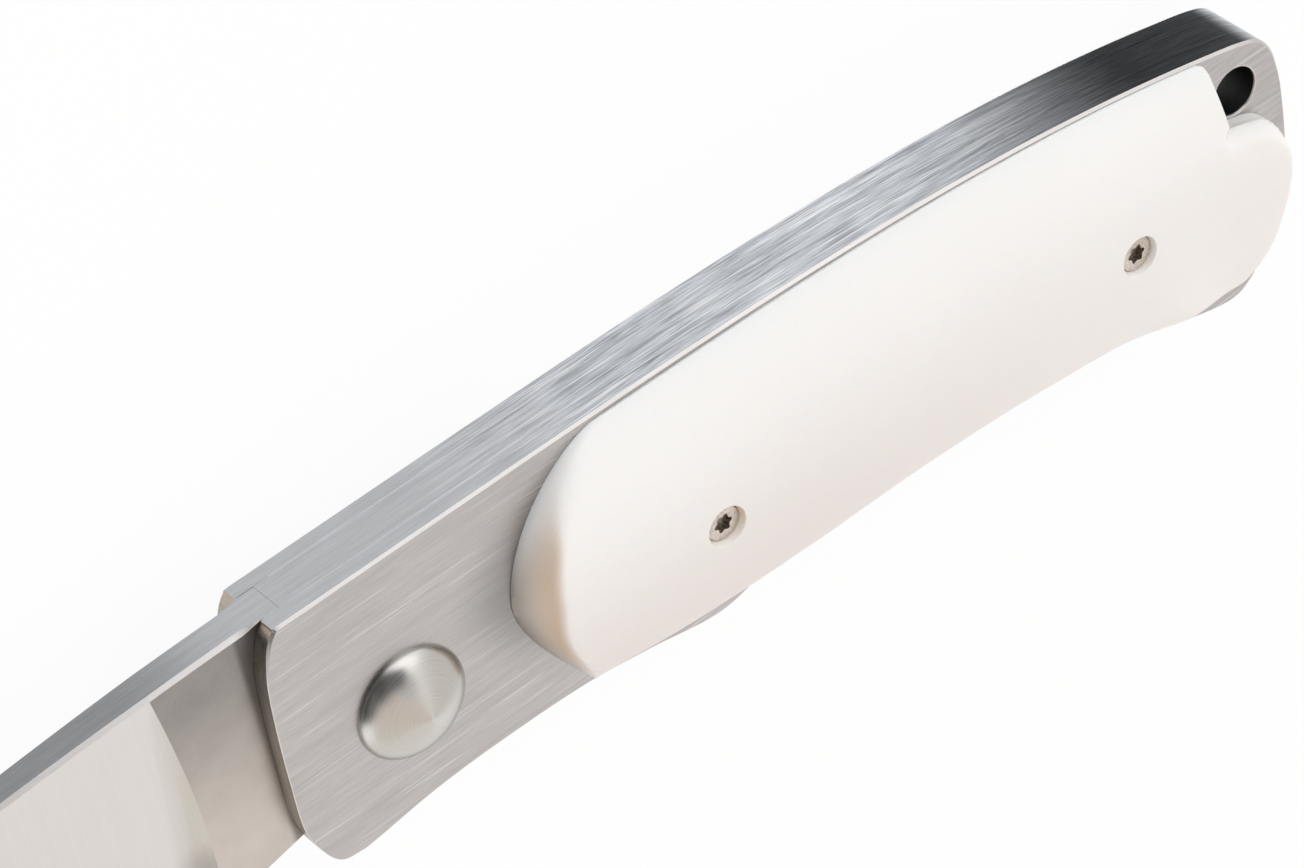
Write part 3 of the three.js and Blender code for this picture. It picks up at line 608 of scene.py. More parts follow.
class Recipe(Graph):
    """The nodes of one material, which read its object coordinates."""

    def __init__(self, name: str, metallic: float) -> None:
        """Start a material with a Principled shader."""
        self.material = bpy.data.materials.new(name)
        self.material.use_nodes = True
        super().__init__(self.material.node_tree)
        self.shader = self.tree.nodes["Principled BSDF"]
        self.coordinates = self.add("TexCoord").outputs["Object"]
        self.set_shader({"Metallic": metallic})

    def set_shader(self, feeds: dict) -> None:
        """Feed some of the shader's inputs."""
        for name, value in feeds.items():
            self.feed(self.shader.inputs[name], value)

    def group(self, tree: bpy.types.NodeTree, **values: object) -> bpy.types.NodeOutputs:
        """Place a shared group with its own values and return its outputs."""
        feeds = {name.replace("_", " "): value for name, value in values.items()}
        feeds["Vector"] = self.coordinates
        return self.add("Group", feeds, node_tree=tree).outputs

    def mark(self, name: str) -> Socket:
        """Read a value that a mesh carries at its vertices."""
        return self.add("Attribute", attribute_name=name).outputs["Fac"]

    def rise(self, axis: str, start: float, end: float) -> Socket:
        """Rise from 0 to 1 between two places, in millimetres from the pivot."""
        place = self.add("SeparateXYZ", {0: self.coordinates}).outputs[axis]
        shift = PIVOT_PLACE["XYZ".index(axis)]
        return self.ramp(place, shift + start * MM, shift + end * MM, "SMOOTHSTEP")

    def reach(self, x: float, y: float) -> Socket:
        """Measure the distance from an upright line, given in millimetres from the pivot."""
        place = TO_FRAME @ Vector((x, y, 0))
        feeds = {"Location": (-place.x, -place.y, 0), "Scale": (1, 1, 0)}
        feeds["Vector"] = self.coordinates
        centred = self.add("Mapping", feeds).outputs[0]
        return self.add("VectorMath", {0: centred}, operation="LENGTH").outputs["Value"]

    def near(self, x: float, y: float, inner: float, outer: float) -> Socket:
        """Fall from 1 to 0 between two distances from an upright line."""
        far = self.ramp(self.reach(x, y), inner * MM, outer * MM, "SMOOTHSTEP")
        return self.maths("SUBTRACT", 1, far)

    def finish(
        self,
        colour: Socket,
        pattern: Socket,
        roughness: Pair,
        strength: float,
        depth: float = 0.01,
    ) -> bpy.types.Material:
        """Drive the shader from a colour and a pattern.

        Args:
            colour: The base colour.
            pattern: A value from 0 to 1, for the roughness and the relief.
            roughness: The roughness where the pattern is 0, and where it is 1.
            strength: How strongly the relief shows.
            depth: The relief's depth, in millimetres.

        Returns:
            The material.
        """
        feeds = {"Strength": strength, "Distance": depth * MM, "Height": pattern}
        relief = self.add("Bump", feeds).outputs["Normal"]
        rough = self.span(pattern, *roughness)
        self.set_shader({"Base Color": colour, "Roughness": rough, "Normal": relief})
        return self.material


@dataclass(frozen=True)
class Steel:
    """What every finish of steel is named and coloured by."""

    name: str
    dark: Colour
    light: Colour

    @property
    def shadow(self) -> Colour:
        """Colour of the places that stay in shadow."""
        return tuple(0.3 * part for part in self.dark)


@dataclass(frozen=True)
class BrushedSteel(Steel):
    """Steel with straight brush marks along the handle."""

    stretch: Triple = (260, 9000, 9000)
    roughness: Pair = (0.26, 0.4)
    depth: float = 0.008
    strength: float = 0.25
    tone: float = 0.3
    cloud: float = 0.08
    scratches: float = 0.25
    scratch: Colour = (0.8, 0.79, 0.78)
    # Painted shade: a near-black colour that darkens the places a mesh marks, less where the
    # brush marks are bright.
    painted_dark: Colour | None = None
    least_painted_dark: float = 0.95
    calm: Colour | None = None
    calms: Pair = (24, 4)
    calming: float = 0.8
    # Painted shade: a soft dark spot round an upright line, as x, y, inner and outer reach, and
    # amount.
    shaded_spot: tuple[float, float, float, float, float] | None = None

    def make(self) -> bpy.types.Material:
        """Build the material."""
        recipe = Recipe(self.name, 1)
        marks = recipe.group(BRUSH_MARKS, Stretch=self.stretch)
        blotch = recipe.group(MOTTLE, Cloud_Scale=160, Speck_Scale=5000)
        drift = recipe.times(marks["Tone"], self.tone)
        share = recipe.plus(drift, recipe.times(marks["Streak"], 1 - self.tone))
        share = recipe.plus(share, recipe.span(blotch["Cloud"], -self.cloud, self.cloud))
        colour = recipe.tint(share, self.dark, self.light)
        colour = recipe.tint(marks["Scratch"], colour, self.scratch, self.scratches)
        if self.shaded_spot:
            *spot, amount = self.shaded_spot
            colour = recipe.tint(recipe.near(*spot), colour, self.shadow, amount)
        if self.calm:
            colour = recipe.tint(recipe.rise("X", *self.calms), colour, self.calm, self.calming)
        # Painted shade: darken the places that the mesh marks.
        if self.painted_dark:
            spine_shading = recipe.span(marks["Streak"], 1, self.least_painted_dark)
            colour = recipe.tint(recipe.mark("painted_spine_shade"), colour, self.painted_dark, spine_shading)
        return recipe.finish(colour, marks["Streak"], self.roughness, self.strength, self.depth)


@dataclass(frozen=True)
class MatteSteel(Steel):
    """Steel with an even, slightly mottled satin."""

    roughness: Pair = (0.38, 0.48)
    strength: float = 0.25
    # Painted shade: the colour lightens along y between two places.
    brightens: Pair | None = None
    brightening: float = 0.75
    shadowed: Pair | None = None
    shadowing: float = 0.6

    def make(self) -> bpy.types.Material:
        """Build the material."""
        recipe = Recipe(self.name, 1)
        mottle = recipe.group(MOTTLE, Cloud_Scale=420, Speck_Scale=5200)
        share = recipe.plus(*(recipe.times(mottle[name], 0.5) for name in ("Cloud", "Speck")))
        if self.brightens:
            rise = recipe.times(recipe.rise("Y", *self.brightens), self.brightening)
            share = recipe.plus(rise, recipe.times(share, 1 - self.brightening))
        colour = recipe.tint(share, self.dark, self.light)
        if self.shadowed:
            shadow = recipe.rise("X", *self.shadowed)
            colour = recipe.tint(shadow, colour, self.shadow, self.shadowing)
        return recipe.finish(colour, mottle["Speck"], self.roughness, self.strength)


@dataclass(frozen=True)
class TurnedSteel(Steel):
    """Steel polished on a lathe, with fine rings round an axis."""

    centre: Point = (0, 0)
    rings: float = 9000
    roughness: Pair = (0.2, 0.28)
    strength: float = 0.3

    def make(self) -> bpy.types.Material:
        """Build the material."""
        recipe = Recipe(self.name, 1)
        feeds = {"W": recipe.reach(*self.centre), "Scale": self.rings, "Detail": 3}
        rings = recipe.add("TexNoise", feeds, noise_dimensions="1D").outputs["Fac"]
        colour = recipe.tint(rings, self.dark, self.light)
        return recipe.finish(colour, rings, self.roughness, self.strength)


@dataclass(frozen=True)
class Bone:
    """Pale polished bone, with painted shade: cream towards the belly, and tan and darker where
    the mesh marks it.
    """

    name: str = "scale_bone"
    pale: Colour = (0.94, 0.932, 0.92)
    cream: Colour = (0.735, 0.675, 0.65)
    warm: Colour = (0.66, 0.5, 0.36)
    shaded: Colour = (0.3, 0.26, 0.22)
    # Painted shade: the scale turns cream towards the belly, less so towards the rear.
    ages: Pair = (10.5, -9)
    creaming: float = 0.75
    fades: Pair = (25, 72)
    fading: float = 0.5
    grain: float = 0.05
    roughness: Pair = (0.3, 0.42)
    strength: float = 0.06
    glow: float = 0.25
    glow_reach: float = 0.0015

    def make(self) -> bpy.types.Material:
        """Build the material."""
        recipe = Recipe(self.name, 0)
        mottle = recipe.group(MOTTLE, Cloud_Scale=70, Speck_Scale=3000)
        grain = recipe.group(BRUSH_MARKS, Stretch=(60, 900, 900))
        cloud = recipe.times(mottle["Cloud"], self.grain)
        lines = recipe.times(grain["Tone"], self.grain)
        creamed = recipe.times(recipe.rise("Y", *self.ages), self.creaming)
        rear = recipe.times(recipe.rise("X", *self.fades), -self.fading)
        creamed = recipe.times(creamed, recipe.plus(rear, 1))
        share = recipe.plus(recipe.plus(cloud, lines), creamed)
        colour = recipe.tint(share, self.pale, self.cream)
        # Painted shade: tint the marked places tan, then darker.
        colour = recipe.tint(recipe.mark("warmth"), colour, self.warm)
        colour = recipe.tint(recipe.mark("shade"), colour, self.shaded)
        recipe.set_shader(
            {
                "Subsurface Weight": self.glow,
                "Subsurface Radius": (1.0, 0.6, 0.4),
                "Subsurface Scale": self.glow_reach,
                "IOR": 1.5,
            }
        )
        return recipe.finish(colour, mottle["Speck"], self.roughness, self.strength)


FACE_STEEL = BrushedSteel(
    "liner_face",
    (0.375, 0.36, 0.353),
    (0.52, 0.5, 0.492),
    stretch=(420, 7500, 7500),
    strength=0.14,
    # Painted shade on the face, near the front end of the scale.
    shaded_spot=(12, 3, 2.5, 8, 0.5),
).make()
SPINE_STEEL = BrushedSteel(
    "spine_steel",
    (0.19, 0.203, 0.225),
    (0.87, 0.895, 0.94),
    stretch=(300, 300, 9000),
    roughness=(0.28, 0.4),
    scratches=0.6,
    scratch=(0.92, 0.93, 0.95),
    painted_dark=(0.002, 0.003, 0.005),
    calm=(0.46, 0.465, 0.478),
).make()
# Painted shade: the liners' front walls are darker, browner steel.
WALL_STEEL = BrushedSteel(
    "front_wall_steel", (0.3, 0.27, 0.245), (0.5, 0.46, 0.42), stretch=(6000, 200, 6000)
).make()
# Painted reflection: the tan of the liners' front corners.
CORNER_STEEL = MatteSteel("front_corner_steel", (0.4, 0.34, 0.29), (0.6, 0.51, 0.43)).make()
# Painted shade: the lanyard hole's wall is near-black steel.
BORE_SHADE_STEEL = MatteSteel("bore_painted_shade", (0.05, 0.055, 0.05), (0.09, 0.095, 0.09)).make()
EDGE_STEEL = BrushedSteel(
    "edge_steel", (0.56, 0.54, 0.53), (0.66, 0.64, 0.63), scratches=0, roughness=(0.3, 0.42)
).make()
SLOT_STEEL = BrushedSteel("slot_steel", (0.36, 0.36, 0.36), (0.55, 0.55, 0.55)).make()
SOCKET_STEEL = MatteSteel(
    "socket_steel", (0.06, 0.048, 0.036), (0.8, 0.72, 0.63), strength=1
).make()
RICASSO_STEEL = MatteSteel(
    "ricasso_steel",
    (0.25, 0.238, 0.232),
    (0.6, 0.55, 0.51),
    # Painted shade: the ricasso is darker towards the spine.
    brightens=(12.5, -3.5),
    shadowed=(-10.8, -10.2),
).make()
GROUND_STEEL = BrushedSteel(
    "ground_steel",
    (0.59, 0.565, 0.55),
    (0.615, 0.595, 0.58),
    stretch=(5000, 110, 110),
    roughness=(0.2, 0.26),
    strength=0.03,
    scratches=0,
    # Painted shade on the bevel, at the foot of the plunge.
    shaded_spot=(-16.5, -4.6, 0.2, 3.6, 0.45),
).make()
PIVOT_STEEL = TurnedSteel(
    "pivot_steel", (0.5, 0.48, 0.455), (0.58, 0.56, 0.535), strength=0.06
).make()
SCREW_STEEL = MatteSteel(
    "screw_steel", (0.4, 0.35, 0.31), (0.85, 0.79, 0.72), strength=0.8
).make()
PIN_STEEL = MatteSteel("pin_steel", (0.48, 0.48, 0.48), (0.62, 0.62, 0.62)).make()
BRONZE = MatteSteel("washer_bronze", (0.46, 0.33, 0.14), (0.62, 0.45, 0.21)).make()
BONE = Bone().make()
CUT_BONE = Bone("cut_bone", (0.95, 0.93, 0.9), (0.86, 0.66, 0.5), ages=(-2.6, 0.4)).make()


@dataclass
class Piece:
    """How a finished mesh becomes the piece that stands for its node."""

    replaces: list[str]
    slot: str
    finishes: list
    side: Side = Side.TOP
    body: Body = Body.HANDLE
    crease: float = 24

    def set_down(self, bm: Mesh) -> bpy.types.Object:
        """Turn a mesh into the piece.

        Args:
            bm: The mesh on the upper side, in millimetres round the pivot.

        Returns:
            The piece's object, at the origin, with its place in its mesh.
        """
        if self.side is Side.BOTTOM:
            turned_over(bm)
        bmesh.ops.transform(bm, matrix=TO_FRAME, verts=bm.verts[:])
        limit = math.radians(self.crease)
        for face in bm.faces:
            face.smooth = True
        for edge in bm.edges:
            edge.smooth = False
            if len(edge.link_faces) == 2:
                first, second = edge.link_faces
                same = first.material_index == second.material_index
                edge.smooth = same and edge.calc_face_angle() < limit
        item = to_object(bm, "dressed_" + self.replaces[0], 0)
        for finish in self.finishes:
            item.data.materials.append(finish)
        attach(item, self.body.value)
        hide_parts(*self.replaces)
        log.info("%s: %d faces", item.name, len(item.data.polygons))
        return item


@dataclass
class Liner:
    """One of the two steel liners, with a fine bright chamfer."""

    side: Side
    chamfer: float = 0.2
    front_share: float = 0.25
    front_widens: Pair = (8, 12.5)
    rear_widens: Pair = (-4, 4)
    seam: float = 0.02
    seam_start: float = -5
    hole_edge: float = 0.15
    corner: float = 12.3
    front_facing: float = -0.45

    FACE, SPINE, EDGE, BORE, WALL, CORNER = range(6)

    def narrow_front(self, bm: Mesh, bright: list) -> None:
        """Narrow the chamfer round the front and the belly.

        Args:
            bm: The liner's mesh, which is not used.
            bright: The chamfer's faces, of full width.
        """
        outline = np.array(OUTLINE.loop())
        for vert in {vert for face in bright for vert in face.verts}:
            spot = np.array(vert.co.xy)
            nearest = outline[np.linalg.norm(outline - spot, axis=1).argmin()]
            limits = self.front_widens if nearest[0] < 0 else self.rear_widens
            share = blend(self.front_share, 1, ease(nearest[1], *limits))
            if SANDWICH.liner_top - vert.co.z < self.chamfer / 2:
                vert.co.xy = Vector(nearest + (spot - nearest) * share)
            else:
                vert.co.z = SANDWICH.liner_top - self.chamfer * share

    def build(self) -> bpy.types.Object:
        """Build the liner on its side of the slot."""
        holes = [PIVOT, LANYARD, MIDDLE_PIN, REAR_PIN, FRONT_SCREW, REAR_SCREW]
        bm = plate(OUTLINE.loop(), holes, SANDWICH.slot_half, SANDWICH.liner_top)
        rim = away_from(rim_edges(bm, SANDWICH.liner_top), holes)
        bright = soften(bm, rim, self.chamfer, 1)
        paint(bright, self.EDGE)
        self.narrow_front(bm, bright)
        rim = rim_edges(bm, SANDWICH.liner_top)
        elsewhere = away_from(rim, [LANYARD])
        round_hole = [edge for edge in rim if edge not in elsewhere]
        paint(soften(bm, round_hole, self.hole_edge, 2), self.EDGE)
        inner = away_from(rim_edges(bm, SANDWICH.slot_half), holes)
        inner = [edge for edge in inner if edge.verts[0].co.x > self.seam_start]
        paint(soften(bm, inner, self.seam, 1), self.SPINE)
        for face in bm.faces:
            if face.material_index == self.FACE and abs(face.normal.z) < 0.5:
                middle = face.calc_center_median()
                face.material_index = self.SPINE
                if face.normal.x < self.front_facing and middle.x < 0:
                    face.material_index = self.CORNER if middle.y > self.corner else self.WALL
        paint_bore_shade(bm, self.BORE)
        paint_butt_shade(bm)
        finishes = [FACE_STEEL, SPINE_STEEL, EDGE_STEEL, BORE_SHADE_STEEL, WALL_STEEL, CORNER_STEEL]
        piece = Piece([self.side.named("liner")], "liner_steel", finishes, self.side)
        return piece.set_down(bm)


@dataclass
class Blade:
    """The blade with its tang, ground from a flat blank."""

    tip: float = 74
    tang_radius: float = 8.15
    tang_flat: float = 7.9
    shoulder: float = 6.6
    shoulder_gap: float = 0.015
    spine_gap: float = 0.005
    spine_drop: float = 7.4
    spine_power: float = 1.9
    heel: float = 17
    heel_depth: float = 7.95
    belly_power: float = 3.2
    tip_half_width: float = 0.12
    ricasso_front_depth: float = 6.2
    ricasso_back: float = 1.3
    plunge: float = 16.15
    plunge_run: float = 3.2
    plunge_lean: float = 1.3
    plunge_foot: float = 0.6
    grind_top: float = 0.34
    edge_half: float = 0.16
    edge_bevel: float = 0.7
    cutting_half: float = 0.02
    tip_taper: float = 0.45
    chamfer: float = 0.3
    chamfer_start: float = 8
    chamfer_run: float = 1.6
    chamfer_least: float = 0.04
    washer_recess: float = 5.8
    # Painted shade on the blade's spine, darker towards the tip.
    darkening: float = 0.45
    darkens: Pair = (8, 20)
    nick_place: float = 38.5
    nick_length: float = 12
    nick_width: float = 1.3
    nick_depth: float = 0.5
    nick_below_spine: float = 0.7
    nick_tilt: float = 12
    outline_steps: int = 90
    wheel_rows: int = 26
    wheel_margin: int = 3
    wheel_columns: tuple[int, int, int] = (2, 12, 60)
    wheel_top: float = 4
    wheel_overhang: float = 0.6

    RICASSO, GROUND, SPINE, EDGE = range(4)

    def spine_at(self, reach: float) -> float:
        """Height of the blade's spine at a distance in front of the pivot."""
        share = max(0, reach - self.shoulder) / (self.tip - self.shoulder)
        top = OUTLINE.spine_at(0) - self.spine_gap
        return top - self.spine_drop * share**self.spine_power

    def edge_at(self, reach: float) -> float:
        """Height of the blade's lower edge at a distance in front of the pivot."""
        if reach < self.heel:
            share = (self.heel - reach) / (self.heel - OUTLINE.front_edge + self.ricasso_back)
            return blend(-self.heel_depth, -self.ricasso_front_depth, share)
        share = (reach - self.heel) / (self.tip - self.heel)
        rise = self.heel_depth + self.spine_at(self.tip) - self.tip_half_width * 2
        return -self.heel_depth + rise * share**self.belly_power

    @property
    def ricasso_front(self) -> float:
        """Distance in front of the pivot at which the lower edge steps up."""
        return OUTLINE.front_edge - self.ricasso_back

    def outline(self) -> list[Point]:
        """Side outline of the blank, from the shoulder round the tip and the tang."""
        shares = [step / self.outline_steps for step in range(self.outline_steps + 1)]
        reaches = [blend(self.shoulder, self.tip, share) for share in shares]
        path = [(-reach, self.spine_at(reach)) for reach in reaches]
        low = [blend(self.tip, self.heel, share) for share in shares]
        path += [(-reach, self.edge_at(reach)) for reach in low]
        front = self.ricasso_front
        path += [(-front, -self.ricasso_front_depth), (-front + 2.5, -self.tang_flat)]
        corner = math.acos(self.tang_flat / self.tang_radius)
        arc = 40
        for step in range(arc + 1):
            angle = blend(-math.pi / 2 + corner, math.pi / 2 - corner, step / arc)
            x, y = math.cos(angle), math.sin(angle)
            path.append((self.tang_radius * x, self.tang_radius * y))
        path.append((-self.shoulder, self.tang_flat))
        return path[::-1]

    def grinding_wheel(self) -> Mesh:
        """Solid whose underside is the ground face, with its rounded plunge.

        Returns:
            The cutter for the upper side of the blade.
        """
        bm = bmesh.new()
        for vert, column, row in grid(bm, sum(self.wheel_columns), self.wheel_rows):
            vert.co = self.ground_point(column, row)
        for vert in verts_of(bmesh.ops.extrude_face_region(bm, geom=bm.faces[:])):
            vert.co.z = self.wheel_top
        bmesh.ops.recalc_face_normals(bm, faces=bm.faces[:])
        for face in bm.faces:
            place = face.calc_center_median()
            on_chamfer = place.y > self.spine_at(-place.x) - self.chamfer
            face.material_index = self.EDGE if on_chamfer else self.GROUND
        return bm

    def ground_point(self, column: int, row: int) -> Vector:
        """Place one point of the ground face.

        Args:
            column: Its step along the blade, towards the tip. The wheel lifts off
                in the first few, then come the plunge's hollow and the bevel.
            row: Its step across the blade, towards the edge.

        Returns:
            The point.
        """
        before, inside, along = self.wheel_columns
        rows, margin = self.wheel_rows, self.wheel_margin
        step = min(max((row - margin) / (rows - 2 * margin), 0), 1)
        lean = self.plunge + self.plunge_lean * (1 - step) ** 2 + self.plunge_foot * step**3
        depth = max(step, 0.02)
        run = self.plunge_run * math.sqrt(depth)
        if column < before:
            rise = before - column
            reach = lean - rise
            ground = 0
        elif column <= before + inside:
            share = (column - before) / inside
            reach = lean + run * share
            rise = 0
            ground = 1 - (1 - share) ** 2
        else:
            share = (column - before - inside) / along
            reach = blend(lean + run, self.tip + self.wheel_overhang, share)
            rise = 0
            ground = 1
        top = self.spine_at(reach)
        bottom = self.edge_at(min(reach, self.tip))
        width = max(top - bottom, 0.01)
        taper = max(0, (reach - self.heel) / (self.tip - self.heel))
        full = SANDWICH.blade_half * (1 - self.tip_taper * taper) + rise
        high = top - min(self.grind_top, width / 4)
        low = bottom + min(self.edge_bevel, width / 4)
        chamfer = min(self.chamfer, width / 6)
        if row < margin:
            above = (top + 1, full - chamfer - 1), (top, full - chamfer), (top - chamfer, full)
            y, z = above[row]
            if column < before:
                z = full + 1
        elif row > rows - margin:
            y = bottom + (-1, -0.3, 0.015)[rows - row]
            z = blend(full, self.cutting_half, ground)
        else:
            y = blend(high, low, step)
            wedge = blend(full, self.edge_half, step)
            z = blend(full, wedge, ground)
        return Vector((-reach, y, z))

    def nail_nick(self) -> Mesh:
        """Tilted sliver that cuts the nick for the thumb nail."""
        half = self.nick_length / 2
        steps = 40
        low = []
        for step in range(steps + 1):
            share = 2 * step / steps - 1
            low.append((half * share, -self.nick_width * (1 - share**2)))
        bm = plate(low, [], -self.nick_depth, self.nick_depth * 2)
        slope = self.spine_at(self.nick_place + 1) - self.spine_at(self.nick_place)
        for angle, axis in ((math.radians(self.nick_tilt), "X"), (-math.atan(slope), "Z")):
            bmesh.ops.rotate(bm, matrix=Matrix.Rotation(angle, 3, axis), verts=bm.verts[:])
        height = self.spine_at(self.nick_place) - self.nick_below_spine
        paint(bm.faces, self.GROUND)
        return moved(bm, -self.nick_place, height, SANDWICH.blade_half)

    def washer_seat(self) -> Mesh:
        """Round bar that cuts the shallow seat of a washer."""
        low, high = SANDWICH.washer_seat, SANDWICH.liner_top
        reach = self.washer_recess
        return turned([(0, low), (reach, low), (reach, high), (0, high)], 96)

    def narrow_shoulder(self, bright: list) -> None:
        """Narrow the chamfer where the blade's spine runs in between the liners."""
        full = self.chamfer_start + self.chamfer_run
        for vert in {vert for face in bright for vert in face.verts if vert.co.x > -full}:
            reach = -vert.co.x
            share = max(ease(reach, self.chamfer_start, full), self.chamfer_least)
            top = self.spine_at(reach)
            if top - vert.co.y > self.chamfer / 2:
                vert.co.y = top - self.chamfer * share
            else:
                level = SANDWICH.blade_half - self.chamfer * share
                vert.co.z = math.copysign(level, vert.co.z)

    def build(self) -> bpy.types.Object:
        """Build the blade."""
        half = SANDWICH.blade_half
        bm = plate(self.outline(), [PIVOT], -half, half)
        paint([face for face in bm.faces if abs(face.normal.z) <= 0.5], self.SPINE)
        spine = []
        for level in (half, -half):
            for edge in rim_edges(bm, level):
                middle = (edge.verts[0].co + edge.verts[1].co) / 2
                ahead = middle.x < -self.shoulder - 0.01
                if ahead and middle.y > self.spine_at(-middle.x) - 0.02:
                    spine.append(edge)
        bright = soften(bm, spine, self.chamfer, 1)
        paint(bright, self.EDGE)
        self.narrow_shoulder(bright)
        upper = self.grinding_wheel()
        lower = turned_over(self.grinding_wheel())
        seats = [self.washer_seat(), turned_over(self.washer_seat())]
        bm = cut(bm, [upper, lower, self.nail_nick(), *seats])
        # Mark the painted shade of the blade's spine.
        layer = bm.verts.layers.float.new("painted_spine_shade")
        for vert in bm.verts:
            vert[layer] = self.darkening * ease(-vert.co.x, *self.darkens)
        finishes = [RICASSO_STEEL, GROUND_STEEL, SPINE_STEEL, EDGE_STEEL]
        return Piece(["blade"], "blade_steel", finishes, body=Body.BLADE).set_down(bm)


@dataclass
class Backspring:
    """The steel bar that fills the spine between the liners."""

    blade: Blade
    clearance: float = 0.35
    arm_underside: float = 9.1
    edge_clearance: float = 0.9
    tail_gap: float = 1.6
    seam: float = 0.02
    steps: int = 24

    SPINE, SLOT, BORE = range(3)

    def loop(self) -> list[Point]:
        """Outline of the bar, which clears the closed blade."""
        blade = self.blade
        underside = blade.tang_flat + self.clearance
        start = -blade.shoulder + blade.shoulder_gap
        lower = [
            (start, underside),
            (blade.tang_radius, underside),
            (blade.tang_radius + 4, self.arm_underside),
        ]
        for step in range(self.steps + 1):
            share = step / self.steps
            x = blend(blade.heel + 4, blade.tip, share)
            closed = -blade.edge_at(x) + self.edge_clearance * (1 + 0.6 * share)
            lower.append((x, min(self.arm_underside, closed)))
        tail = blade.tip + self.tail_gap
        lower.append((tail, -blade.edge_at(blade.tip) - 1))
        lower.append((tail + 0.4, OUTLINE.belly[-1][1] + 1.2))
        outline = OUTLINE.loop()
        behind = [(x, y) for x, y in outline if y < 0 and x > tail + 0.8]
        above = [(x, y) for x, y in outline if y >= 0 and x > -blade.shoulder + 0.2]
        return lower + behind + above + [(start, OUTLINE.spine_at(0))]

    def build(self) -> bpy.types.Object:
        """Build the backspring."""
        half = SANDWICH.slot_half
        holes = [LANYARD, MIDDLE_PIN, REAR_PIN]
        bm = plate(self.loop(), holes, -half, half)
        for level in (half, -half):
            soften(bm, away_from(rim_edges(bm, level), holes), self.seam, 1)
        paint([face for face in bm.faces if abs(face.normal.z) > 0.95], self.SLOT)
        paint_bore_shade(bm, self.BORE)
        paint_butt_shade(bm)
        finishes = [SPINE_STEEL, SLOT_STEEL, BORE_SHADE_STEEL]
        return Piece(["backspring"], "spring_steel", finishes).set_down(bm)


@dataclass
class PivotHead:
    """A domed pivot head with its shaft, plain above and socketed below."""

    side: Side
    radius: float = 4.4
    rim: float = 0.1
    height: float = 2.6
    cone: float = 1.45
    cone_power: float = 1.15
    rim_power: float = 3.1
    shaft: float = 2.5
    thread: float = 1.4
    clearance: float = 0.08
    socket_radius: float = 1.3
    socket_depth: float = 1.2
    segments: int = 128
    dome_steps: int = 40

    def dome(self) -> list[Point]:
        """Half profile of the head, from its rim to its apex."""
        base = SANDWICH.liner_top
        rounded = self.height - self.rim - self.cone
        path = [(self.radius, base)]
        for step in range(self.dome_steps + 1):
            last = step == self.dome_steps
            share = 0 if last else math.cos(step / self.dome_steps * math.pi / 2)
            cone = self.cone * (1 - share**self.cone_power)
            rise = rounded * math.sqrt(1 - share**self.rim_power)
            path.append((self.radius * share, base + self.rim + cone + rise))
        return path

    def build(self) -> bpy.types.Object:
        """Build the head and its shaft."""
        low = -SANDWICH.liner_top + self.clearance
        if self.side is Side.TOP:
            bore = self.thread + self.clearance
            start = SANDWICH.slot_half
            inner = [(0, start), (bore, start), (bore, low), (self.shaft, low)]
            profile = inner + [(self.shaft, SANDWICH.liner_top)] + self.dome()
        else:
            start = -SANDWICH.slot_half + self.clearance
            inner = [(0, start), (self.thread, start), (self.thread, SANDWICH.liner_top)]
            profile = inner + self.dome()
        bm = turned(profile, self.segments)
        node = "pivot_barrel"
        if self.side is Side.BOTTOM:
            top = SANDWICH.liner_top + self.height
            bm = cut(bm, [six_lobe_prism(self.socket_radius, top - self.socket_depth, top + 1)])
            node = "pivot_screw"
        finishes = [PIVOT_STEEL, SOCKET_STEEL]
        return Piece([node], "pivot_steel", finishes, self.side, crease=50).set_down(bm)


def six_lobe_prism(radius: float, low: float, high: float) -> Mesh:
    """Make the six-lobed bar that cuts a socket, round the axis.

    Args:
        radius: Reach of its lobes.
        low: Level of the socket's floor.
        high: Level above the head.

    Returns:
        The bar, whose faces take the second finish.
    """
    steps, wave = 96, 0.13
    path = []
    for step in range(steps):
        angle = step / steps * FULL_TURN
        reach = radius * (1 - wave + wave * math.cos(6 * angle))
        path.append((reach * math.cos(angle), reach * math.sin(angle)))
    bm = plate(path, [], low, high)
    paint(bm.faces, 1)
    return bm


@dataclass
class ScaleScrew:
    """A scale screw with a six-lobe socket."""

    side: Side
    name: str
    place: Hole
    head_radius: float = 1.43
    head_height: float = 1.1
    sink: float = 0.6
    shaft: float = 1
    end_gap: float = 0.15
    edge: float = 0.12
    socket_radius: float = 0.78
    socket_depth: float = 0.6

    def build(self) -> bpy.types.Object:
        """Build the screw in its hole."""
        top = SANDWICH.scale_top - self.sink
        ledge = top - self.head_height
        start = SANDWICH.slot_half + self.end_gap
        profile = [
            (0, start),
            (self.shaft, start),
            (self.shaft, ledge),
            (self.head_radius, ledge),
            (self.head_radius, top - self.edge),
            (self.head_radius - self.edge * 0.3, top - self.edge * 0.3),
            (self.head_radius - self.edge, top),
            (0, top),
        ]
        bm = turned(profile, 64)
        prism = six_lobe_prism(self.socket_radius, top - self.socket_depth, top + 1)
        bm = moved(cut(bm, [prism]), self.place.x, self.place.y)
        node = self.side.named(self.name + "_scale_screw")
        piece = Piece([node], "screw_steel", [SCREW_STEEL, SOCKET_STEEL], self.side)
        return piece.set_down(bm)


def bezier(ends: list[Point], steps: int) -> np.ndarray:
    """Return points along a cubic curve that four points shape."""
    share = np.linspace(0, 1, steps + 1)[:, None]
    first, second, third, fourth = (np.array(end) for end in ends)
    left = 1 - share
    return (
        left**3 * first
        + 3 * left**2 * share * second
        + 3 * left * share**2 * third
        + share**3 * fourth
    )


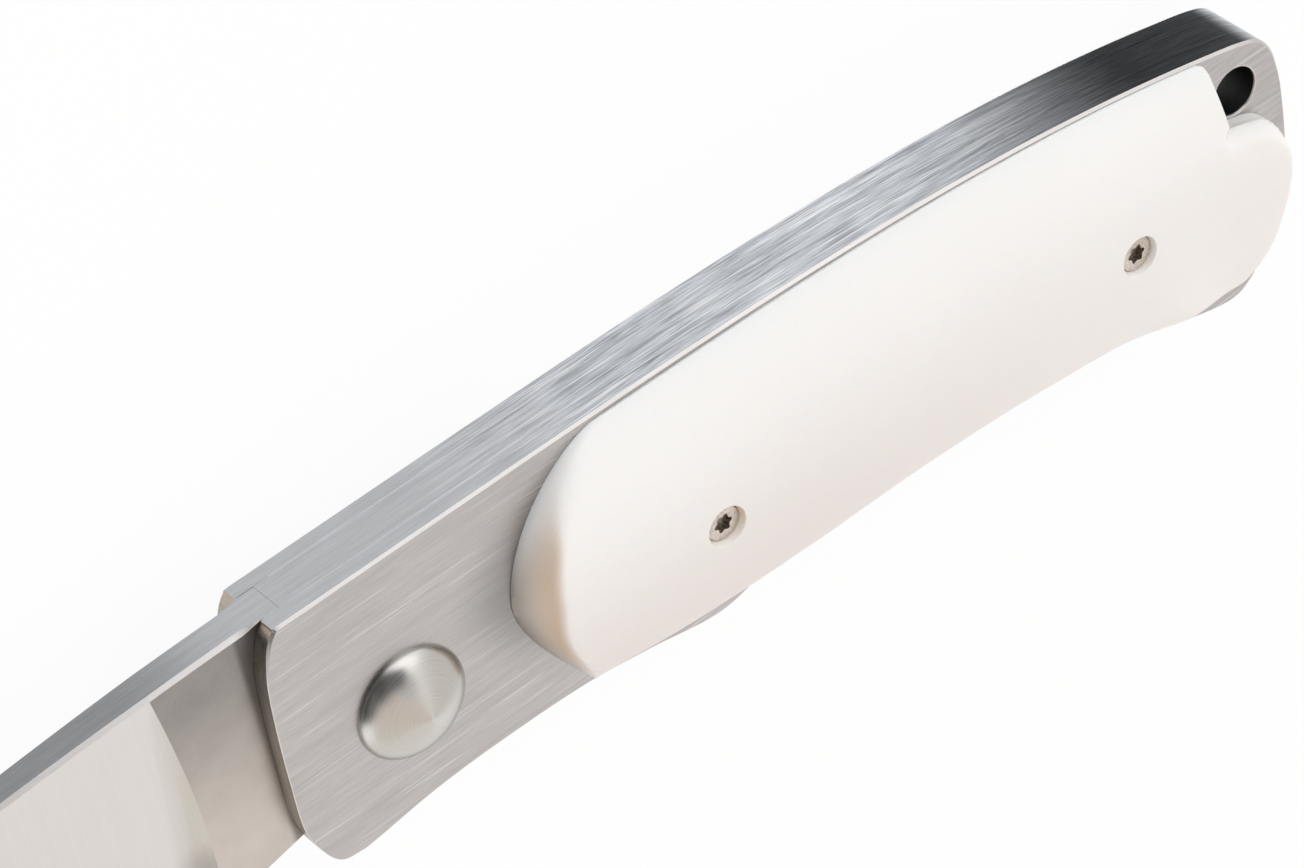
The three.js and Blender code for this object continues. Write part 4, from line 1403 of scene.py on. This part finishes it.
def along(path: np.ndarray, shares: np.ndarray) -> np.ndarray:
    """Return the points that lie at some shares of a path's length."""
    steps = np.linalg.norm(np.diff(path, axis=0), axis=1)
    length = np.concatenate([[0], np.cumsum(steps)])
    places = shares * length[-1]
    return np.stack([np.interp(places, length, path[:, axis]) for axis in (0, 1)], axis=1)


def eased(values: np.ndarray, low: float, high: float) -> np.ndarray:
    """Return smooth rises from 0 at low to 1 at high."""
    share = np.clip((values - low) / (high - low), 0, 1)
    return share * share * (3 - 2 * share)


def soft_least(fields: list[np.ndarray], blur: float) -> np.ndarray:
    """Return the lowest of some fields, with the creases between them rounded."""
    stack = np.stack(fields)
    least = stack.min(axis=0)
    return least - blur * np.log(np.exp(-(stack - least) / blur).sum(axis=0))


@dataclass
class Scale:
    """A bone scale with a facetted front, a crown and rolled edges."""

    side: Side
    inset: float = 0.5
    rear_inset: float = 0.25
    hook_inset: float = 1.7
    front: float = 9.3
    front_height: float = 1.95
    shoulder: float = 19
    ridge: float = 12.1
    edge_wall: float = 0.4
    foot: float = 0.1
    front_bulge: float = 0.25
    ridge_lift: float = 0.4
    facet_blur: float = 0.012
    steepening: float = 0.65
    steepens: Pair = (2.5, -3.5)
    belly_roll: float = 5
    hook_roll: float = 3.2
    butt_roll: float = 2.6
    butt_rolls: Pair = (68, 79)
    wall_roll: float = 1.2
    crown_edge: float = 0.2
    crown_lift: float = 0.1
    crown_width: float = 8.5
    crown_power: float = 1.9
    butt_thinning: float = 0.8
    hook_thinning: float = 1.8
    hook_run: float = 10
    hook_fall: float = 15
    thinning_place: float = 58
    wall_corner: float = 0.7
    screw_hole: float = 1.46
    screw_mouth: float = 1.68
    mouth_depth: float = 0.62
    blur: float = 0.13
    top_blur: float = 0.7
    top_blurs: Pair = (6, 11)
    screw_ledge: float = 1.7
    # Painted shade on the front facet: a warm tan that grows with height, and a dark tone near
    # its foot.
    warmest: float = 0.9
    darkest: float = 0.85
    facet_starts: Pair = (-0.35, 0.5)
    facet_rises: Pair = (-9, -1)
    warms_below: Pair = (12.5, 3.5)
    warms_above: Pair = (-0.3, 2.4)
    darkens_below: Pair = (8.5, 2)
    darkens_under: Pair = (2.2, 0)
    belly_rows: int = 40
    belly_share: float = 5.5 / 21
    butt_columns: int = 24
    butt_share: float = 3.4 / 66.0
    columns: int = 280
    rows: int = 120
    hook: Point = (77.4, -13.5)
    hook_reach: float = 10
    narrowest: Point = (73.2, -14.6)
    narrow_reach: float = 6.5
    hook_place: float = 74
    lobe: tuple[Point, ...] = (
        (80.45, -3.6), (79.95, -1.9), (79.2, -0.5), (78.1, 0.55), (76.7, 1.05),
        (75.15, 1.5), (74.5, 1.85),
    )
    lower: tuple[Point, ...] = (
        (6.3, -6.75), (14, -7.65), (20, -8.45), (25, -8.85), (29.5, -9.05),
    )

    def spine_edge(self, x: np.ndarray) -> np.ndarray:
        """Height of the scale's upper edge along the spine."""
        share = np.clip((x - self.shoulder) / (self.hook_place - self.shoulder), 0, 1)
        spine = np.vectorize(OUTLINE.spine_at)(x)
        return spine - (self.inset + (self.rear_inset - self.inset) * share)

    def near(self, points: np.ndarray, place: Point, reach: float) -> np.ndarray:
        """How near a place some points are, from 0 at the reach to 1."""
        return 1 - eased(np.linalg.norm(points - np.array(place), axis=1), 0, reach)

    def rim(self) -> np.ndarray:
        """Rolled edge, from the front along the belly and the butt to the notch."""
        outline = np.array(OUTLINE.loop())
        ahead = np.roll(outline, -1, axis=0) - np.roll(outline, 1, axis=0)
        ahead /= np.linalg.norm(ahead, axis=1)[:, None]
        inward = np.stack([-ahead[:, 1], ahead[:, 0]], axis=1)
        near = self.near(outline, self.narrowest, self.narrow_reach)[:, None]
        shifted = outline + inward * (self.inset + (self.hook_inset - self.inset) * near)
        keep = (shifted[:, 0] > 33.82) & (shifted[:, 1] < self.lobe[0][1] - 1)
        curved = shifted[keep]
        start = smooth_path([*self.lower, tuple(curved[0])], 12)[:-1]
        end = smooth_path([tuple(curved[-1]), *self.lobe], 12)[1:]
        path = np.concatenate([np.array(start), curved, np.array(end)])
        even = along(path, np.linspace(0, 1, 500))
        for _ in range(12):
            even[1:-1] = (even[:-2] + 2 * even[1:-1] + even[2:]) / 4
        return even

    def feet(self) -> np.ndarray:
        """Curve where the front end meets the liner, from the spine to the belly."""
        mid, front = self.front_height, self.front
        top = OUTLINE.spine_height - 0.5
        turn = (front + 0.6, mid + 5.4)
        upper = [(self.shoulder, top), (front + 6, top - 0.4), turn, (front, mid)]
        lower = [(front, mid), (front, mid - 3.5), (front + 2.5, mid - 7), (front + 6.7, -11.5)]
        return np.concatenate([bezier(upper, 60), bezier(lower, 60)[1:]])

    def ridges(self) -> np.ndarray:
        """Curve that the front end rises to, in step with its foot."""
        mid, ridge = self.front_height, self.ridge + 0.2
        top = OUTLINE.spine_height - 0.5
        start, turn, end = (self.shoulder + 1.5, top), (ridge + 0.4, mid + 6), (ridge, mid + 1)
        upper = [start, (ridge + 4.2, top), turn, end]
        leave, near = (ridge - 0.7, mid - 2.55), (ridge - 1, mid - 6.35)
        lower = [end, leave, near, (self.front + 6.9, -10.8)]
        return np.concatenate([bezier(upper, 60), bezier(lower, 60)[1:]])

    def front_height_at(self, points: np.ndarray) -> np.ndarray:
        """Height of the front end's slope over some points."""
        feet, ridges = self.feet(), self.ridges()
        high = SANDWICH.scale + self.ridge_lift
        planes = []
        for index in range(0, len(feet) - 2, 2):
            first = np.append(feet[index], 0)
            second = np.append(feet[index + 2], 0)
            third = np.append(ridges[index + 1], high)
            normal = np.cross(second - first, third - first)
            if abs(normal[2]) < 1e-6:
                continue
            level = first[2] - (
                (points[:, 0] - first[0]) * normal[0] + (points[:, 1] - first[1]) * normal[1]
            ) / normal[2]
            planes.append(level)
        slope = soft_least(planes, self.facet_blur)
        slope = slope * (1 + self.steepening * eased(points[:, 1], *self.steepens))
        share = np.clip(slope / SANDWICH.scale, 0, 1)
        return slope + self.front_bulge * np.sin(math.pi * share**0.7)

    def roll_at(self, points: np.ndarray, rim: np.ndarray) -> np.ndarray:
        """Share of the full height that the rolled edge leaves over some points."""
        nearest = np.empty(len(points), int)
        reach = np.empty(len(points))
        for start in range(0, len(points), 4000):
            part = points[start : start + 4000]
            gaps = np.linalg.norm(part[:, None] - rim[None], axis=2)
            nearest[start : start + 4000] = gaps.argmin(axis=1)
            reach[start : start + 4000] = gaps.min(axis=1)
        foot = rim[nearest]
        hooked = self.near(foot, self.hook, self.hook_reach)
        behind = eased(foot[:, 0], *self.butt_rolls)
        on_butt = np.where(foot[:, 1] > self.lobe[0][1], 1, behind)
        plain = self.belly_roll + (self.butt_roll - self.belly_roll) * on_butt
        width = plain + (self.hook_roll - plain) * hooked
        power = 2 - 0.6 * hooked
        left = 1 - np.clip(reach / width, 0, 1)
        rolled = (1 - left**power) ** (1 / power)
        wall = self.lobe[-1][0]
        inside = eased(points[:, 0], wall, wall - self.wall_roll)
        beside = np.where(points[:, 1] > self.lobe[0][1], inside, 0)
        return rolled + (1 - rolled) * beside

    def heights(self, points: np.ndarray, rim: np.ndarray) -> tuple[np.ndarray, np.ndarray]:
        """Work out the scale's surface over some points.

        Args:
            points: Places on the liner's face.
            rim: The rolled edge.

        Returns:
            Heights above the liner, and how far the front slope is below the
            rest of the surface.
        """
        x, y = points[:, 0], points[:, 1]
        reach = OUTLINE.butt_end - self.thinning_place
        run = np.clip((x - self.thinning_place) / reach, 0, 1)
        top = SANDWICH.scale + self.crown_lift
        top = top - (self.butt_thinning + self.crown_lift) * run**1.5
        below = self.spine_edge(x) - y
        share = np.clip(below / self.crown_width, 0, 1)
        bulge = 1 - (1 - share) ** self.crown_power
        crown = self.crown_edge + (top - self.crown_edge) * bulge
        hooked = eased(x, self.hook_place - self.hook_run, self.hook_place)
        span = self.spine_edge(x) - self.crown_width + self.hook_fall
        fall = np.clip((below - self.crown_width) / span, 0, 1)
        crown = crown - self.hook_thinning * hooked * fall
        flat = np.full_like(x, SANDWICH.scale)
        roll = self.edge_wall + (SANDWICH.scale - self.edge_wall) * self.roll_at(points, rim)
        rest = soft_least([crown, flat, roll], self.blur)
        slope = self.front_height_at(points)
        blur = self.blur + self.top_blur * eased(y, *self.top_blurs)
        return np.maximum(soft_least([rest, slope], blur), self.foot), rest - slope

    def sides(self, rim: np.ndarray) -> tuple[np.ndarray, ...]:
        """Work out the four sides of the scale's footprint.

        Args:
            rim: The rolled edge.

        Returns:
            The sides along the belly, the spine, the front and the rear.
        """
        feet = self.feet()[::-1]
        low = int(np.argmax(feet[:, 1] > np.interp(feet[:, 0], rim[:250, 0], rim[:250, 1])))
        high = int(np.argmax(feet[:, 1] > self.spine_edge(feet[:, 0])))
        front = feet[low:high]
        corner = int(np.linalg.norm(rim - np.array(self.hook), axis=1).argmin())
        begin = int(np.linalg.norm(rim[:200] - front[0], axis=1).argmin()) + 1
        belly = np.concatenate([front[:1], rim[begin : corner + 1]])
        wall = self.lobe[-1][0]
        top = float(self.spine_edge(np.array([wall]))[0])
        upper = np.linspace(self.lobe[-1][1], top - self.wall_corner, 30)
        upright = np.stack([np.full_like(upper, wall), upper], axis=1)
        bend = np.array([[wall - self.wall_corner * 0.25, top - self.wall_corner * 0.25]])
        rear = np.concatenate([rim[corner:], upright[1:], bend])
        xs = np.linspace(front[-1][0], wall - self.wall_corner, 200)
        spine = np.concatenate([np.stack([xs, self.spine_edge(xs)], axis=1), bend])
        spine[0] = front[-1]
        return belly, spine, front, rear

    def spacing(self) -> tuple[np.ndarray, np.ndarray]:
        """Shares of the columns, closer at the butt, and of the rows, closer at the belly."""
        turn = np.linspace(0, math.pi / 2, self.butt_columns)
        close = 1 - self.butt_share * (1 - np.cos(turn))
        before = np.linspace(0, close.min(), self.columns + 1 - len(close) + 1)[:-1]
        near = self.belly_share * (1 - np.cos(np.linspace(0, math.pi / 2, self.belly_rows)))
        rest = np.linspace(near.max(), 1, self.rows + 1 - len(near) + 1)[1:]
        return np.concatenate([before, close[::-1]]), np.concatenate([near, rest])

    def places(self, rim: np.ndarray, columns: np.ndarray, rows: np.ndarray) -> np.ndarray:
        """Spread points over the footprint, column by column.

        Args:
            rim: The rolled edge.
            columns: Where the columns stand, as shares of the length.
            rows: Where the rows run, as shares of the width.

        Returns:
            The points.
        """
        belly, spine, front, rear = self.sides(rim)
        bottom, ceiling = along(belly, columns), along(spine, columns)
        left, right = along(front, rows), along(rear, rows)
        c, r = columns[:, None, None], rows[None, :, None]
        places = (
            (1 - r) * bottom[:, None]
            + r * ceiling[:, None]
            + (1 - c) * left[None]
            + c * right[None]
            - (1 - c) * (1 - r) * left[0]
            - c * (1 - r) * right[0]
            - (1 - c) * r * left[-1]
            - c * r * right[-1]
        )
        return places.reshape(-1, 2)

    def build(self) -> bpy.types.Object:
        """Build the scale with its two screw holes."""
        rim = self.rim()
        columns, rows = self.spacing()
        flat = self.places(rim, columns, rows)
        heights, slopes = self.heights(flat, rim)
        bm = bmesh.new()
        warmth, shade = (bm.verts.layers.float.new(name) for name in ("warmth", "shade"))
        for vert, column, row in grid(bm, len(columns) - 1, len(rows) - 1):
            index = column * len(rows) + row
            x, y = flat[index].tolist()
            height = float(heights[index])
            vert.co = (x, y, SANDWICH.liner_top + height)
            # Mark the painted shade of the front facet.
            low = ease(float(slopes[index]), *self.facet_starts) * ease(y, *self.facet_rises)
            warmed = ease(y, *self.warms_below) * ease(height, *self.warms_above)
            vert[warmth] = self.warmest * low * warmed
            shaded = ease(y, *self.darkens_below) * ease(height, *self.darkens_under)
            vert[shade] = self.darkest * low * shaded
        boundary = [edge for edge in bm.edges if edge.is_boundary]
        for vert in verts_of(bmesh.ops.extrude_edge_only(bm, edges=boundary)):
            vert.co.z = SANDWICH.liner_top
        bmesh.ops.holes_fill(bm, edges=[edge for edge in bm.edges if edge.is_boundary], sides=0)
        bmesh.ops.recalc_face_normals(bm, faces=bm.faces[:])
        bm = cut(bm, [self.hole_cutter(FRONT_SCREW), self.hole_cutter(REAR_SCREW)])
        node = self.side.named("scale")
        piece = Piece([node], "scale_bone", [BONE, CUT_BONE], self.side, crease=35)
        return piece.set_down(bm)

    def hole_cutter(self, place: Hole) -> Mesh:
        """Stepped bar that cuts a screw hole."""
        ledge = SANDWICH.scale_top - self.screw_ledge
        low, high = SANDWICH.liner_top - 1, SANDWICH.scale_top + 1
        profile = [
            (0, low),
            (place.radius, low),
            (place.radius, ledge),
            (self.screw_hole, ledge),
            (self.screw_hole, SANDWICH.scale_top - self.mouth_depth),
            (self.screw_mouth, SANDWICH.scale_top),
            (self.screw_mouth, high),
            (0, high),
        ]
        bm = turned(profile, 64)
        paint(bm.faces, 1)
        return moved(bm, place.x, place.y)


@dataclass(frozen=True)
class SkyPatch:
    """A soft round part of the sky with a colour of its own."""

    toward: Triple
    start: float
    full: float
    colour: Colour


@dataclass
class Studio:
    """Pale floor, a soft lamp and an even sky with a few soft patches."""

    floor_size: float = 6
    floor_colour: Colour = (0.97, 0.97, 0.97)
    floor_glow: float = 0.93
    sky: Colour = (1.4, 1.4, 1.4)
    patches: tuple[SkyPatch, ...] = (
        SkyPatch((0.95, -0.2, 0.35), 0.5, 0.95, (0.93, 0.9, 0.875)),
        SkyPatch((0.32, 0.72, 0.6), 0.88, 0.98, (1.85, 1.85, 1.85)),
        SkyPatch((-0.25, -0.3, 0.92), 0.7, 0.97, (0.98, 0.89, 0.83)),
        SkyPatch((-0.1, -0.97, 0.2), 0.72, 0.95, (1.08, 1.05, 1.02)),
        SkyPatch((-0.5, 0.58, 0.62), 0.74, 0.95, (0.12, 0.12, 0.12)),
        SkyPatch((-0.62, 0.78, 0.0), 0.8, 0.95, (0.1, 0.1, 0.1)),
        SkyPatch((-0.86, 0.12, 0.45), 0.84, 0.97, (0.22, 0.22, 0.21)),
        SkyPatch((-0.42, -0.66, 0.63), 0.96, 0.99, (0.95, 0.92, 0.84)),
        SkyPatch((0.12, 0.22, 0.97), 0.95, 0.995, (0.8, 0.8, 0.8)),
        SkyPatch((-0.05, 0.52, 0.85), 0.92, 0.98, (0.17, 0.18, 0.19)),
        SkyPatch((-0.95, 0.2, -0.15), 0.7, 0.92, (0.07, 0.07, 0.065)),
    )

    def lay_floor(self) -> None:
        """Lay the floor that the knife lies on."""
        bm = bmesh.new()
        bmesh.ops.create_grid(bm, x_segments=1, y_segments=1, size=self.floor_size / 2)
        floor = to_object(bm, "floor", 0)
        recipe = Recipe("floor_pale", 0)
        colour = (*self.floor_colour, 1)
        recipe.set_shader({"Base Color": colour, "Roughness": 0.9, "Specular IOR Level": 0})
        glow = recipe.add("Emission", {"Color": (1, 1, 1, 1), "Strength": 1}).outputs[0]
        rays = recipe.add("LightPath").outputs
        seen = recipe.maths("MAXIMUM", rays["Is Camera Ray"], rays["Is Glossy Ray"])
        seen = recipe.maths("MAXIMUM", seen, rays["Is Transmission Ray"])
        share = recipe.times(seen, self.floor_glow)
        mix = recipe.add("MixShader", {"Fac": share, 1: recipe.shader.outputs["BSDF"], 2: glow})
        recipe.feed(recipe.tree.nodes["Material Output"].inputs["Surface"], mix.outputs[0])
        floor.data.materials.append(recipe.material)

    def light_sky(self) -> None:
        """Make the sky that lights the knife from all round, plain white to the camera."""
        world = bpy.data.worlds.new("studio_sky")
        world.use_nodes = True
        bpy.context.scene.world = world
        graph = Graph(world.node_tree)
        place = graph.add("TexCoord").outputs["Generated"]
        colour = self.sky
        for patch in self.patches:
            feeds = {0: place, 1: Vector(patch.toward).normalized()}
            facing = graph.add("VectorMath", feeds, operation="DOT_PRODUCT").outputs["Value"]
            share = graph.ramp(facing, patch.start, patch.full, "SMOOTHSTEP")
            colour = graph.tint(share, colour, patch.colour)
        colour = graph.tint(graph.add("LightPath").outputs["Is Camera Ray"], colour, (1, 1, 1))
        graph.feed(world.node_tree.nodes["Background"].inputs["Color"], colour)

    def lamp(self, name: str, toward: tuple, reach: float, size: float, glow: float) -> None:
        """Hang a soft square lamp that faces the knife.

        Args:
            name: The lamp's name.
            toward: Direction from the knife to the lamp.
            reach: Distance from the knife.
            size: Side of the lamp.
            glow: How bright its face looks, where 1 is white.
        """
        data = bpy.data.lights.new(name, "AREA")
        data.size = size
        data.energy = glow * math.pi * size**2
        item = bpy.data.objects.new(name, data)
        item.location = Vector(toward).normalized() * reach
        item.visible_glossy = False
        item.rotation_euler = (-Vector(toward)).to_track_quat("-Z", "Y").to_euler()
        bpy.context.scene.collection.objects.link(item)

    def build(self) -> None:
        """Set up the floor, the sky and the lamp."""
        self.lay_floor()
        self.light_sky()
        self.lamp("spine_lamp", (-0.25, 0.75, 0.6), 1.2, 0.9, 1.4)


@dataclass
class PhotoCamera:
    """The camera at the photograph's viewing angle."""

    place: Triple = (-0.12744, 0.27534, 0.26740)
    right: Triple = (0.76628, -0.17660, 0.61775)
    up: Triple = (0.52647, 0.72371, -0.44617)
    backward: Triple = (-0.36828, 0.66712, 0.64754)
    lens: float = 161.2
    sensor: float = 36

    def build(self) -> None:
        """Stand the camera up and make it the scene's camera."""
        data = bpy.data.cameras.new("photo_camera")
        data.sensor_fit = "HORIZONTAL"
        data.sensor_width = self.sensor
        data.lens = self.lens
        data.clip_start = 0.01
        item = bpy.data.objects.new("photo_camera", data)
        turn = Matrix((self.right, self.up, self.backward)).transposed()
        item.matrix_world = Matrix.Translation(self.place) @ turn.to_4x4()
        bpy.context.scene.collection.objects.link(item)
        bpy.context.scene.camera = item


def dress_kept_nodes() -> None:
    """Give the hidden pins and washers of the frame their finishes."""
    finishes = {
        "middle_spring_pin": PIN_STEEL,
        "rear_spring_pin": PIN_STEEL,
        "top_pivot_washer": BRONZE,
        "bottom_pivot_washer": BRONZE,
    }
    for name, finish in finishes.items():
        node = frame["nodes"][name]
        node.data.materials.clear()
        node.data.materials.append(finish)


def main() -> None:
    """Build the knife, the studio and the camera."""
    logging.basicConfig(level=logging.INFO, format="%(message)s")
    bpy.context.scene.view_settings.view_transform = "Standard"
    PhotoCamera().build()
    Studio().build()
    blade = Blade()
    blade.build()
    Backspring(blade).build()
    for side in Side:
        Liner(side).build()
        PivotHead(side).build()
        Scale(side).build()
        ScaleScrew(side, "front", FRONT_SCREW).build()
        ScaleScrew(side, "rear", REAR_SCREW).build()
    dress_kept_nodes()


if __name__ == "__main__":
    main()
